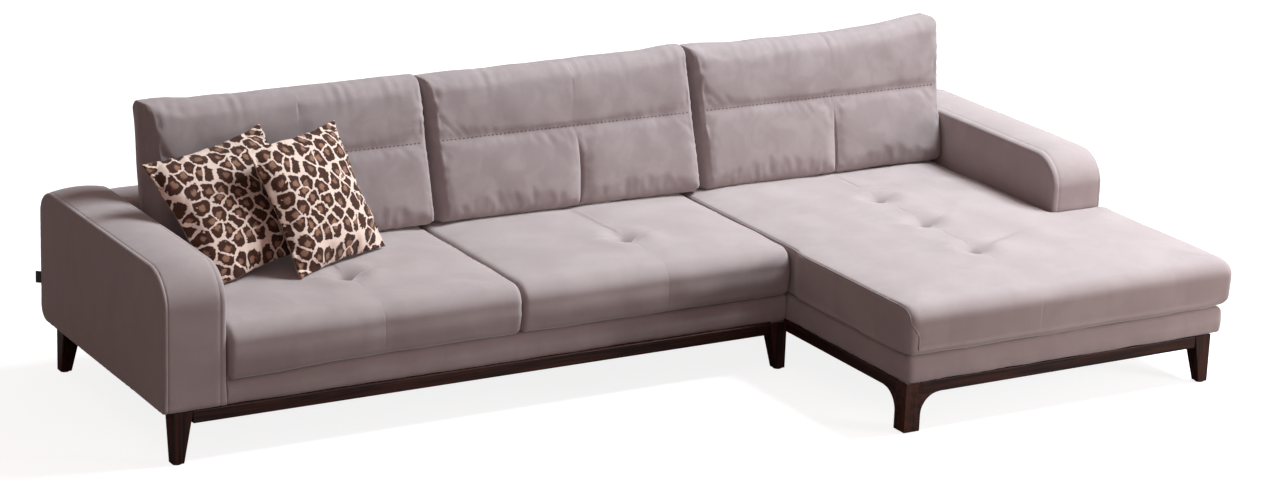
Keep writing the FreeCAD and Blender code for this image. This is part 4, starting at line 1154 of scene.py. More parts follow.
@dataclass(frozen=True)
class SpeckleFinish(Finish):
    """Metal, plastic or felt with a fine uneven tone."""

    ground: Colour = (0.6, 0.6, 0.62)
    fleck: Colour = (0.5, 0.5, 0.52)
    size: float = 300.0
    metal: float = 0.0
    relief: float = 0.15

    def parts(self, draft: ShaderDraft, groups: EffectGroups) -> Surface:
        """Fine flecks.

        Args:
            draft: Where its nodes go.
            groups: The shared effects.

        Returns:
            The main shader's sockets, and the relief's height, strength and distance.
        """
        speckle = draft.effect(groups.speckle, {
            "Ground": rgba(self.ground), "Fleck": rgba(self.fleck), "Size": self.size})
        return {"Base Color": speckle["Colour"], "Roughness": speckle["Dull"],
                "Metallic": self.metal}, speckle["Height"], self.relief, 0.0004


class Finishes:
    """All materials of the sofa, made once."""

    def __init__(self) -> None:
        """Build the shared effects and the materials."""
        groups = EffectGroups()
        self.nap = NapFinish("taupe_nap").make(groups)
        # The back cushions' copy of the nap: its darker ground and brushed colours are painted
        # shade for the lower light on the back cushions, and its larger, stronger patches are
        # uneven nap.
        self.back_nap = NapFinish(
            "taupe_nap_shade_and_mottle", ground=(0.582, 0.526, 0.53), brushed=(0.665, 0.612, 0.61),
            patch=13.0, amount=0.48).make(groups)
        self.thread = NapFinish(
            "taupe_thread", ground=(0.36, 0.30, 0.30), brushed=(0.40, 0.34, 0.34),
            turned=(0.30, 0.25, 0.25), sheen=0.1).make(groups)
        self.plush = PrintFinish("rosette_plush").make(groups)
        self.wood_x, self.wood_y, self.wood_z = (
            WoodFinish("espresso_wood_" + axis.name.lower(), axis).make(groups)
            for axis in GrainAxis)
        self.softwood = WoodFinish(
            "planed_softwood", GrainAxis.X, (0.85, 0.72, 0.52), (0.76, 0.6, 0.4),
            (0.88, 0.78, 0.6), coat=0.0).make(groups)
        self.plywood = WoodFinish(
            "sanded_plywood", GrainAxis.Y, (0.86, 0.76, 0.58), (0.78, 0.66, 0.47),
            (0.9, 0.82, 0.66), coat=0.0).make(groups)
        self.webbing = WeaveFinish(
            "elastic_webbing", (0.26, 0.26, 0.27), (0.16, 0.16, 0.17), 180.0).make(groups)
        self.lining = WeaveFinish("black_lining").make(groups)
        self.felt = SpeckleFinish(
            "needle_felt", (0.68, 0.67, 0.65), (0.55, 0.54, 0.53), 420.0,
            relief=0.5).make(groups)
        self.steel = SpeckleFinish(
            "zinc_plated_steel", (0.77, 0.78, 0.79), (0.66, 0.68, 0.7), 160.0,
            metal=1.0).make(groups)
        self.plastic = SpeckleFinish(
            "glide_plastic", (0.27, 0.26, 0.25), (0.2, 0.19, 0.185), 500.0).make(groups)


@dataclass(frozen=True)
class SoftLamp:
    """A square soft lamp.

    Attributes:
        name: Its name.
        place: Where it hangs.
        target: Where it points.
        size: Its side.
        power: Its power in watts.
        colour: The light's tint.
    """

    name: str
    place: Spot
    target: Spot
    size: float
    power: float
    colour: Colour

    def hang(self) -> None:
        """Add the lamp to the scene."""
        data = bpy.data.lights.new(self.name, "AREA")
        data.color = self.colour
        data.size = self.size
        data.energy = self.power
        lamp = bpy.data.objects.new(self.name, data)
        lamp.location = self.place
        lamp.rotation_euler = (Vector(self.place) - Vector(self.target)).to_track_quat(
            "Z", "Y").to_euler()
        bpy.context.scene.collection.objects.link(lamp)


@dataclass
class Studio:
    """Floor, backdrop colour, lamps and camera."""

    eye: Spot = (-5.29109, -8.80261, 3.57720)
    heading: float = -30.868677
    tilt: float = 16.990279
    roll: float = 2.223079
    lens: float = 95.759
    world_level: float = 0.24
    warm: Colour = (1.0, 0.86, 0.83)
    floor_radius: float = 60.0
    floor_sides: int = 24

    def build(self) -> None:
        """Set up the whole studio."""
        self.camera()
        self.floor()
        self.world()
        for lamp in (
                SoftLamp("key_lamp", (4.2, -0.45, 6.1), (0.3, 0.0, 0.35), 2.7, 990.0,
                         (0.832, 0.955, 1.0)),
                SoftLamp("side_lamp", (3.4, -3.4, 1.0), (1.3, -0.8, 0.25), 1.2, 80.0,
                         (0.96, 0.90, 0.89)),
                SoftLamp("fill_lamp", (-3.5, -6.5, 3.0), (0.0, 0.0, 0.4), 3.5, 34.0, self.warm)):
            lamp.hang()
        bpy.context.scene.view_settings.view_transform = "Standard"

    def camera(self) -> None:
        """Set the camera at the photograph's viewpoint."""
        turn, rise, roll = map(math.radians, (self.heading, self.tilt, self.roll))
        back = Vector((math.sin(turn) * math.cos(rise), -math.cos(turn) * math.cos(rise),
                       math.sin(rise)))
        right = (-back).cross(Vector((0, 0, 1))).normalized()
        up = right.cross(-back)
        level_right = math.cos(roll) * right + math.sin(roll) * up
        level_up = -math.sin(roll) * right + math.cos(roll) * up
        lens = bpy.data.cameras.new("studio_camera")
        lens.sensor_fit = "HORIZONTAL"
        lens.sensor_width = 36.0
        lens.lens = self.lens
        lens.clip_end = 200.0
        camera = bpy.data.objects.new("studio_camera", lens)
        turned = Matrix((level_right, level_up, back)).transposed().to_4x4()
        camera.matrix_world = Matrix.Translation(self.eye) @ turned
        bpy.context.scene.collection.objects.link(camera)
        bpy.context.scene.camera = camera

    def floor(self) -> None:
        """Lay the pale floor; it keeps the sofa's shadow."""
        material = bpy.data.materials.new("pale_floor")
        draft = ShaderDraft.blank(material)
        lit = draft.node("BsdfDiffuse", {"Color": (0.40, 0.40, 0.40, 1)})
        glow = draft.node("Emission", {"Color": (1, 1, 1, 1), "Strength": 0.85})
        seen = draft.node("AddShader", {0: lit.outputs[0], 1: glow.outputs[0]})
        plain = draft.node("BsdfDiffuse", {"Color": (0.17, 0.153, 0.147, 1)})
        camera_ray = draft.node("LightPath").outputs["Is Camera Ray"]
        mixed = draft.node("MixShader", {0: camera_ray, 1: plain.outputs[0], 2: seen.outputs[0]})
        draft.node("OutputMaterial", {"Surface": mixed.outputs[0]})
        steps, radius = self.floor_sides, self.floor_radius
        turns = [math.tau * n / steps for n in range(steps)]
        ring = [(radius * math.cos(turn), radius * math.sin(turn), 0.0) for turn in turns]
        inner = [(x * 0.1, y * 0.1, 0.0) for x, y, _ in ring]
        faces = [(n, (n + 1) % steps, steps + (n + 1) % steps, steps + n) for n in range(steps)]
        faces.append(tuple(range(steps, 2 * steps)))
        floor = new_object("studio_floor", np.array(ring + inner), faces, material, smooth=False)

    def world(self) -> None:
        """Even studio surroundings, white where the camera or a gloss sees them."""
        world = bpy.data.worlds.new("studio_world")
        draft = ShaderDraft.blank(world)
        path = draft.node("LightPath").outputs
        seen = draft.math("MAXIMUM", path["Is Camera Ray"], path["Is Glossy Ray"])
        seen = draft.math("MAXIMUM", seen, path["Is Transmission Ray"])
        plain = draft.node("Background", {"Color": (1, 1, 1, 1), "Strength": 1.0})
        light = draft.node("Background", {"Color": rgba(self.warm), "Strength": self.world_level})
        mixed = draft.node("MixShader", {0: seen, 1: light.outputs[0], 2: plain.outputs[0]})
        draft.node("OutputWorld", {"Surface": mixed.outputs[0]})
        bpy.context.scene.world = world


def declare(piece: bpy.types.Object, body: str, nodes: Sequence[str]) -> bpy.types.Object:
    """Register a piece with the frame.

    Args:
        piece: The finished object.
        body: The body that it moves with.
        nodes: CAD nodes that it stands for.

    Returns:
        The piece.
    """
    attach(piece, body)
    if nodes:
        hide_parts(*nodes)
    LOG.info("%s: %d points on %s", piece.name, len(piece.data.vertices), body)
    return piece


@dataclass
class Stitching:
    """Rows of separate stitches laid on a finished piece."""

    length: float = 0.0065
    gap: float = 0.0040
    radius: float = 0.0007
    sink: float = 0.0002

    def lay(self, name: str, piece: bpy.types.Object, lines: Sequence[Points],
            material: bpy.types.Material, body: str) -> None:
        """Sew along lines near a piece's surface.

        Args:
            name: Name of the row of stitches.
            piece: What it is sewn on.
            lines: Places near the surface, a row each.
            material: Thread finish.
            body: The body that it moves with.
        """
        tree = surface_of(piece)
        points: list[Points] = []
        faces: list[Face] = []
        base = 0
        for line in lines:
            whole = run_lengths(line)[-1]
            start = self.gap
            while start + self.length < whole:
                marks = np.linspace(start, start + self.length, 5)
                laid = []
                for spot, share in zip(walk(line, marks), np.linspace(0, 1, 5)):
                    hit, normal, _, _ = tree.find_nearest(Vector(spot))
                    rise = self.radius * (math.sin(math.pi * share) * 1.6 - 0.8) - self.sink
                    laid.append(np.array(hit + normal * rise))
                part, sides = tube(np.array(laid), self.radius, 6)
                points.append(part)
                faces += [moved_on(face, base) for face in sides]
                base += len(part)
                start += self.length + self.gap
        declare(new_object(name, np.vstack(points), faces, material), body, ())


def line_of(*coordinates: Points | float) -> Points:
    """Line from its three coordinates, each an array or one value for all of it."""
    return np.column_stack(np.broadcast_arrays(*coordinates))


def corner_droop(across: Points, start: float, amount: float) -> Points:
    """How far a front edge hangs beside the arm.

    Args:
        across: Places along the edge.
        start: Where the edge begins.
        amount: The most that it hangs.

    Returns:
        The drop at each place.
    """
    return amount * bell(across - start, 0.26)


def tuft_press(points: Points, tuft: Place, creases: Sequence[Place]) -> Points:
    """How far a tuft presses the top down.

    Args:
        points: The cushion's points.
        tuft: Place of the tuft in plan.
        creases: Reach of each crease from the tuft, in plan.

    Returns:
        Depth at each point.
    """
    depth = 0.037
    offset = points[:, :2] - np.array(tuft)
    far = np.linalg.norm(offset, axis=1)
    pressed = depth * 0.62 * np.exp(-(far / 0.034) ** 1.7) + depth * 0.55 * bell(far, 0.011)
    pressed = pressed - depth * 0.13 * bell(far - 0.085, 0.045)
    for reach in creases:
        way = np.array(reach)
        length = float(np.linalg.norm(way))
        way = way / length
        ahead = offset @ way
        beside = np.abs(offset @ np.array((-way[1], way[0])))
        width = 0.008 + 0.10 * np.clip(ahead, 0, length) / 2
        fade = np.clip(1 - ahead / length, 0, 1) ** 1.2 * smooth_step(-0.004, 0.008, ahead)
        pressed = pressed + depth * 0.30 * fade * bell(beside, width)
    return pressed


@dataclass
class SewnPiece:
    """A padded piece whose side outline is wrapped from a left panel to a right one.

    Attributes:
        name: The piece's name.
        node: The CAD node that it stands for.
        left: Where it begins along x.
        right: Where it ends along x.
    """

    name: str
    node: str
    left: float
    right: float

    @property
    def width(self) -> float:
        """Distance between the two panels."""
        return self.right - self.left

    @property
    def middle(self) -> float:
        """Place halfway between the panels."""
        return (self.left + self.right) / 2

    def wrapped(self, outline: Outline, inner: Points, *rolls: Roll) -> Skin:
        """Wrap an outline from panel to panel.

        Args:
            outline: The side outline.
            inner: Grid lines between the panels.
            *rolls: Edge radius at the left and at the right panel.

        Returns:
            The plain skin.
        """
        rings = np.concatenate(([self.left], inner, [self.right]))
        return Skin(*PaddedForm(outline, rings, *rolls).build())

    def sew(self, skin: Skin, material: bpy.types.Material, fill: float,
            body: str = "frame") -> bpy.types.Object:
        """Turn the finished skin into the piece and register it.

        Args:
            skin: The shaped skin.
            material: Its finish.
            fill: How full it is; not used.
            body: The body that it moves with.

        Returns:
            The piece.
        """
        piece = new_object(self.name, skin.points, skin.faces, material)
        return declare(piece, body, [self.node])


@dataclass
class ArmCover(SewnPiece):
    """Padded casing of one arm."""

    outer_is_left: bool
    front: float = -0.1655
    back: float = 0.8345
    low: float = 0.162
    top: float = 0.600
    front_round: float = 0.118
    back_round: float = 0.090
    heel_round: float = 0.050
    foot_round: float = 0.010
    outer_round: float = 0.0105
    inner_round: float = 0.016
    tight_round: float = 0.006
    crown: float = 0.014
    outer_seam: float = 0.0015
    inner_seam: float = 0.0009
    pitch: float = 0.009

    def outline(self) -> Outline:
        """Side outline of the arm.

        Returns:
            The outline.
        """
        return Outline.four_sided(
            ((self.front, self.low, self.foot_round), (self.back, self.low, self.heel_round),
             (self.back, self.top, self.back_round), (self.front, self.top, self.front_round)),
            (even(0, 1, self.pitch / (self.back - self.front)),
             even(0, 1, self.pitch / (self.top - self.low))))

    def roll(self, radius: float) -> Roll:
        """Edge radius by place: full above, pulled tight at the foot."""
        return lambda loop: self.tight_round + (radius - self.tight_round) * smooth_step(
            self.low + 0.004, self.low + 0.09, loop[:, 1])

    def fall(self, points: Points) -> Points:
        """How far the top falls to both sides: evenly on top, and not below the front curve.

        Args:
            points: Places on the casing.

        Returns:
            The fall at each place.
        """
        across = np.clip((points[:, 0] - self.middle) / (self.width / 2), -1, 1)
        raised = np.clip((points[:, 2] - self.top) / self.front_round + 1, 0, 1)
        return self.crown * across ** 2 * raised

    def crowned(self, points: Points, normals: Points) -> Points:
        """Top falls a little to both sides; the sides are slightly full.

        Args:
            points: The casing's points.
            normals: Their directions.

        Returns:
            How far each point moves.
        """
        move = np.zeros_like(points)
        move[:, 2] = -self.fall(points)
        edge = np.minimum.reduce((points[:, 1] - self.front, self.back - points[:, 1],
                                  points[:, 2] - self.low, self.top - points[:, 2]))
        side = np.sign(normals[:, 0]) * smooth_step(0.7, 0.98, np.abs(normals[:, 0]))
        move[:, 0] = -side * 0.0035 * np.exp(-np.clip(edge, 0, 1) / 0.06)
        return move

    def build(self, finishes: Finishes, seed: int) -> None:
        """Make the casing with its seams and dress it.

        Args:
            finishes: The sofa's materials.
            seed: Picks its folds.
        """
        rounds = (self.outer_round, self.inner_round)
        seams = (self.left + 0.0150, self.right - 0.024)
        if not self.outer_is_left:
            rounds = rounds[::-1]
            seams = (self.right - 0.0150, self.left + 0.024)
        outline = self.outline()
        inner = lines_with_seams(self.left + rounds[0] + 0.0008, self.right - rounds[1] - 0.0008,
                                 0.011, seams, fine=0.0013)
        skin = self.wrapped(outline, inner, self.roll(rounds[0]), self.roll(rounds[1]))
        skin.lift(self.crowned)
        for number, seam in enumerate(seams):
            line = outline.line_at(seam)
            line[:, 2] -= self.fall(line)
            skin.pucker(line, 0.0007, 0.022, 0.034, seed + number * 5, closed=True)
            depth = self.inner_seam if number else self.outer_seam
            skin.seam(line, depth, 0.0022, lip=0.0002, closed=True)
        skin.waver(0.0006, 0.26, seed + 40)
        self.sew(skin, finishes.nap, 0.9)


@dataclass
class BackCover(SewnPiece):
    """Upholstered low back that the loose cushions lean on."""

    seams: tuple[float, ...]
    front: float = 0.6225
    back: float = 0.8345
    low: float = 0.162
    top: float = 0.565
    top_round: float = 0.034
    side_roll: float = 0.006
    pitch: float = 0.014

    def build(self, finishes: Finishes, seed: int) -> None:
        """Make the cover with its seams and dress it.

        Args:
            finishes: The sofa's materials.
            seed: Picks its folds.
        """
        outline = Outline.four_sided(
            ((self.front, self.low, 0.008), (self.back, self.low, 0.012),
             (self.back, self.top, self.top_round), (self.front, self.top, self.top_round)),
            (even(0, 1, self.pitch / (self.back - self.front)),
             even(0, 1, self.pitch / (self.top - self.low))))
        inner = lines_with_seams(self.left + 0.012, self.right - 0.012, 0.02, self.seams)
        skin = self.wrapped(outline, inner, *[same_roll(self.side_roll)] * 2)
        for seam in self.seams:
            line = outline.line_at(seam)
            skin.pucker(line, 0.0009, 0.03, 0.03, seed, closed=True)
            skin.seam(line, 0.0025, 0.0028, closed=True)
        edge = polyline([(end, self.back - 0.002, self.top - 0.030)
                         for end in (self.left, self.right)])
        skin.pucker(edge, 0.0009, 0.03, 0.04, seed + 3)
        skin.waver(0.0012, 0.25, seed + 9)
        self.sew(skin, finishes.nap, 0.8)


@dataclass
class SeatCushion(SewnPiece):
    """One seat cushion: the top runs over the front edge, with a middle seam and a tuft."""

    front: float = -0.1775
    back: float = 0.621
    low: float = 0.2503
    edge: float = 0.407
    crown: float = 0.018
    front_roll: float = 0.055
    side_roll: float = 0.019
    tuft_aside: float = 0.020
    tuft_from_front: float = 0.286
    droop: float = 0.0

    def build(self, finishes: Finishes, seed: int) -> None:
        """Make the cushion and dress it.

        Args:
            finishes: The sofa's materials.
            seed: Picks its folds.
        """
        tuft = middle, tuft_y = self.middle + self.tuft_aside, self.front + self.tuft_from_front
        outline = Outline.four_sided(
            ((self.front + 0.008, self.low, 0.024), (self.back, self.low, 0.021),
             (self.back, self.edge, 0.024), (self.front, self.edge, self.front_roll)),
            (even(0, 1, 0.009 / (self.back - self.front)),
             even(0, 1, 0.010 / (self.edge - self.low))), (0.0, 0.0, 0.0, 0.004))
        inner = lines_with_seams(self.left + 0.026, self.right - 0.026, 0.0095, (middle,))
        skin = self.wrapped(outline, inner, *[same_roll(self.side_roll)] * 2)
        skin.lift(lambda points, normals: self.crowned(points, normals, tuft))
        lip = (smooth_step(-0.138, -0.152, skin.points[:, 1])
               * smooth_step(self.low + 0.09, self.low + 0.01, skin.points[:, 2]))
        skin.points[:, 2] -= corner_droop(skin.points[:, 0], self.left, self.droop) * lip
        top = self.edge + self.crown
        behind = ((self.back - 0.03, top - 0.004), (tuft_y, top))
        ahead = ((tuft_y, top), (self.front + 0.06, top - 0.006),
                 (self.front + 0.016, self.edge - 0.013), (self.front, self.edge - 0.05),
                 (self.front + 0.004, self.low + 0.02))
        for places, depth in ((behind, 0.0022), (ahead, 0.0008)):
            skin.seam(polyline([(middle, *place) for place in places]), depth, 0.0019)
        for number, side in enumerate((self.left + self.side_roll, self.right - self.side_roll)):
            skin.pucker(outline.line_at(side), 0.0010, 0.026, 0.030, seed + number * 3,
                        closed=True)
        skin.waver(0.0013, 0.19, seed + 20)
        piece = self.sew(skin, finishes.nap, 0.75)
        rows = [polyline(((middle + aside, self.back - 0.16, top),
                          (middle + aside, tuft_y + 0.03, top))) for aside in (-0.005, 0.005)]
        Stitching().lay(self.name + "_topstitch", piece, rows, finishes.thread, "frame")

    def crowned(self, points: Points, normals: Points, tuft: Place) -> Points:
        """Rise of the top with the tuft pressed in.

        Args:
            points: The cushion's points.
            normals: Their directions.
            tuft: Place of the tuft.

        Returns:
            How far each point moves.
        """
        x, y, z = points.T
        facing = smooth_step(0.15, 0.8, normals[:, 2]) * smooth_step(
            self.edge - 0.06, self.edge - 0.01, z)
        share = (plumped(np.minimum(x - self.left, self.right - x), 0.085)
                 * plumped(y - self.front, 0.11))
        share = share * plumped(self.back - y, 0.12) * 1.06
        split = 0.0035 * bell(x - tuft[0], 0.045)
        pressed = tuft_press(points, tuft, ((-0.16, 0.03), (0.15, 0.035)))
        move = np.zeros_like(points)
        move[:, 2] = facing * (self.crown * share - split - pressed)
        full = smooth_step(0.6, 0.95, -normals[:, 1])
        across = np.sin(np.pi * span_share(self.left, self.right, x)) ** 0.5
        move[:, 1] = -full * (0.0035 * across - 0.003 * bell(x - tuft[0], 0.04))
        return move


@dataclass
class ChaiseCushion(SewnPiece):
    """The long L-shaped cushion of the chaise, which widens in front of the arm."""

    wide_left: float = 0.441
    wide_right: float = 1.719
    front: float = -0.8545
    arm_line: float = -0.167
    back: float = 0.621
    low: float = 0.2503
    edge: float = 0.407
    crown: float = 0.018
    roll: float = 0.050
    tight_roll: float = 0.013
    seam_x: float = 0.973
    pitch: float = 0.011
    tufts: tuple[Place, ...] = ((1.010, 0.153), (0.992, -0.138), (0.973, -0.447))
    creases: tuple[tuple[Place, Place], ...] = (
        ((-0.10, 0.02), (0.13, 0.05)), ((-0.12, 0.03), (0.17, 0.075)),
        ((-0.12, 0.06), (0.30, 0.13)))

    def form(self) -> PaddedForm:
        """The cushion's plain form, over an L-shaped plan.

        Returns:
            The form.
        """
        columns = lines_with_seams(self.left, self.right, self.pitch, (self.seam_x,))
        rows = even(self.front, self.arm_line, self.pitch)
        column, row = notch = (len(columns) - 1, len(rows) - 1)
        columns = np.append(columns, even(self.right, self.wide_right, self.pitch)[1:])
        rows = np.append(rows, even(self.arm_line, self.back, self.pitch)[1:])

        def side(lines: Points, turned: bool = False) -> Points:
            """Stations of a side from its grid lines, run the other way when turned."""
            stations = shares(lines[0], lines[-1], lines)
            return 1 - stations[::-1] if turned else stations

        stations = (side(columns), side(rows[:row + 1]), side(columns[column:], True),
                    side(rows[row:]), side(columns[:column + 1], True), side(rows, True))
        flat = (0.0,) * len(stations)
        outline = Outline(
            ((self.left, self.front, 0.034), (self.wide_right, self.front, 0.036),
             (self.wide_right, self.arm_line, 0.036), (self.right, self.arm_line, 0.016),
             (self.right, self.back, 0.024), (self.left, self.back, 0.024)), stations, flat)
        left, front, far = self.left + self.tight_roll, self.front + self.roll, 0.022
        outer, inner = self.wide_right - self.roll, self.right - far
        top_edge = Outline(
            ((left, front, 0.010), (outer, front, 0.020), (outer, self.arm_line - far, 0.010),
             (inner, self.arm_line - far, 0.030), (inner, self.back - far, 0.006),
             (left, self.back - far, 0.006)), stations, flat)
        return PaddedForm(
            outline, even(self.low, self.edge, 0.012), self.foot_roll, self.top_roll,
            Lay.UPRIGHT, notch, start_lines=(columns, rows), roll_steps=7, upper_edge=top_edge)

    def build(self, finishes: Finishes, seed: int) -> None:
        """Make the cushion and dress it.

        Args:
            finishes: The sofa's materials.
            seed: Picks its folds.
        """
        form = self.form()
        skin = Skin(*form.build())
        skin.points = self.slanted(skin.points)
        loop, _ = form.outline.trace()
        skin.lift(lambda points, normals: self.crowned(points, normals, loop))
        skin.lift(self.widened)
        top, last = self.edge + self.crown, self.tufts[2][1]
        behind = ((self.back - 0.03, top - 0.003), (last, top))
        ahead = ((last, top), (self.front + 0.075, top), (self.front + 0.016, self.edge - 0.010),
                 (self.front, self.edge - 0.055), (self.front + 0.003, self.low + 0.02))
        for places, depth in ((behind, 0.0019), (ahead, 0.0009)):
            line = polyline([(self.seam_x, *place) for place in places])
            skin.seam(self.slanted(line), depth, 0.0019)
        welt = self.welt_line()
        skin.pucker(welt, 0.0010, 0.028, 0.032, seed)
        skin.seam(welt, 0.0018, 0.004)
        skin.waver(0.0014, 0.2, seed + 20)
        self.piping(self.sew(skin, finishes.nap, 0.75), finishes)

    def slanted(self, points: Points) -> Points:
        """Lay the middle seam through the three tufts.

        Args:
            points: Places on a cushion with a straight seam.

        Returns:
            The moved places.
        """
        moved = points.copy()
        ahead = np.clip(points[:, 1], self.front, self.back) - self.tufts[2][1]
        moved[:, 0] += 0.0617 * ahead * bell(points[:, 0] - self.seam_x, 0.22)
        return moved

    def top_roll(self, loop: Points) -> Points:
        """Height of the rolled edge: full at the front and right, tight at the left seam.

        Args:
            loop: The outline in plan.

        Returns:
            The height at each place.
        """
        front = 1 - smooth_step(self.front + 0.02, self.front + 0.13, loop[:, 1])
        right = smooth_step(self.right + 0.02, self.wide_right - 0.01, loop[:, 0])
        right = right * (1 - smooth_step(self.arm_line - 0.09, self.arm_line - 0.01, loop[:, 1]))
        fuller = self.roll - self.tight_roll
        radius = np.maximum(self.tight_roll + fuller * front, self.tight_roll + fuller * right)
        return np.maximum(radius, np.where(loop[:, 0] > self.left + 0.1, 0.022, self.tight_roll))

    def foot_roll(self, loop: Points) -> Points:
        """Edge radius at the foot: full at the front and the right end.

        Args:
            loop: The outline in plan.

        Returns:
            The radius at each place.
        """
        front = 1 - smooth_step(self.front + 0.02, self.front + 0.12, loop[:, 1])
        right = smooth_step(self.right + 0.05, self.wide_right - 0.01, loop[:, 0])
        right = right * (1 - smooth_step(self.arm_line - 0.12, self.arm_line - 0.02, loop[:, 1]))
        return 0.020 + np.maximum(0.009 * front, 0.030 * right)

    def crowned(self, points: Points, normals: Points, loop: Points) -> Points:
        """Rise of the top with the seam and the tufts pressed in.

        Args:
            points: The cushion's points.
            normals: Their directions.
            loop: The cushion's outline in plan.

        Returns:
            How far each point moves.
        """
        facing = smooth_step(0.15, 0.8, normals[:, 2]) * smooth_step(
            self.edge - 0.06, self.edge - 0.01, points[:, 2])
        top = facing > 0
        inside = np.zeros(len(points))
        inside[top] = nearest_on_line(points[top, :2], loop[::3], closed=True)[0]
        rise = self.crown * plumped(inside, 0.10) * 1.03
        pressed = 0.0035 * bell(points[:, 0] - self.seam_x, 0.06)
        for tuft, creases in zip(self.tufts, self.creases):
            pressed = pressed + tuft_press(points, tuft, creases)
        move = np.zeros_like(points)
        move[:, 2] = facing * (rise - pressed)
        wall = smooth_step(0.5, 0.95, 1 - np.abs(normals[:, 2]))
        tucked = -0.007 * (1 - span_share(self.low, self.edge, points[:, 2])) ** 2 * wall
        move[:, :2] += normals[:, :2] * tucked[:, None]
        return move

    def widened(self, points: Points, normals: Points) -> Points:
        """The left side stands further out in front of the seat beside it.

        Args:
            points: The cushion's points.
            normals: Their directions.

        Returns:
            How far each point moves.
        """
        move = np.zeros_like(points)
        near = smooth_step(0.30, 0.0, points[:, 0] - self.left)
        ahead = smooth_step(-0.182, -0.235, points[:, 1])
        move[:, 0] = -(self.left - self.wide_left) * near * ahead
        return move

    def welt_line(self) -> Points:
        """The seam along the left top edge and down the front corner.

        Returns:
            The line.
        """
        left, top = self.wide_left + 0.004, self.edge - 0.003
        places = [(self.left + 0.004, y, top) for y in np.linspace(self.back - 0.03, -0.185, 40)]
        places += [(left, y, top) for y in np.linspace(-0.235, self.front + 0.075, 40)]
        places += [(left, self.front + self.roll * (1 - math.sin(angle)) + 0.002,
                    self.edge - self.roll * (1 - math.cos(angle)) - 0.002)
                   for angle in np.linspace(0.15, math.pi / 2, 9)]
        for z in np.linspace(self.edge - 0.058, self.low + 0.022, 12):
            aside = 0.038 * float(smooth_step(self.edge - 0.03, self.edge - 0.10, z))
            places.append((left + 0.001 + aside, self.front + 0.003, z))
        return np.array(places)

    def piping(self, piece: bpy.types.Object, finishes: Finishes) -> None:
        """Lay the thin welt in its seam.

        Args:
            piece: The finished cushion.
            finishes: The sofa's materials.
        """
        tree = surface_of(piece)
        laid = []
        for spot in self.welt_line():
            hit, normal, _, _ = tree.find_nearest(Vector(spot))
            laid.append(np.array(hit + normal * 0.0002))
        laid = np.array(laid)
        for _ in range(3):
            laid[1:-1] = (laid[:-2] + 2 * laid[1:-1] + laid[2:]) / 4
        welt = new_object("seat_cushion_chaise_welt", *tube(laid, 0.0022), finishes.nap)
        declare(welt, "frame", ())


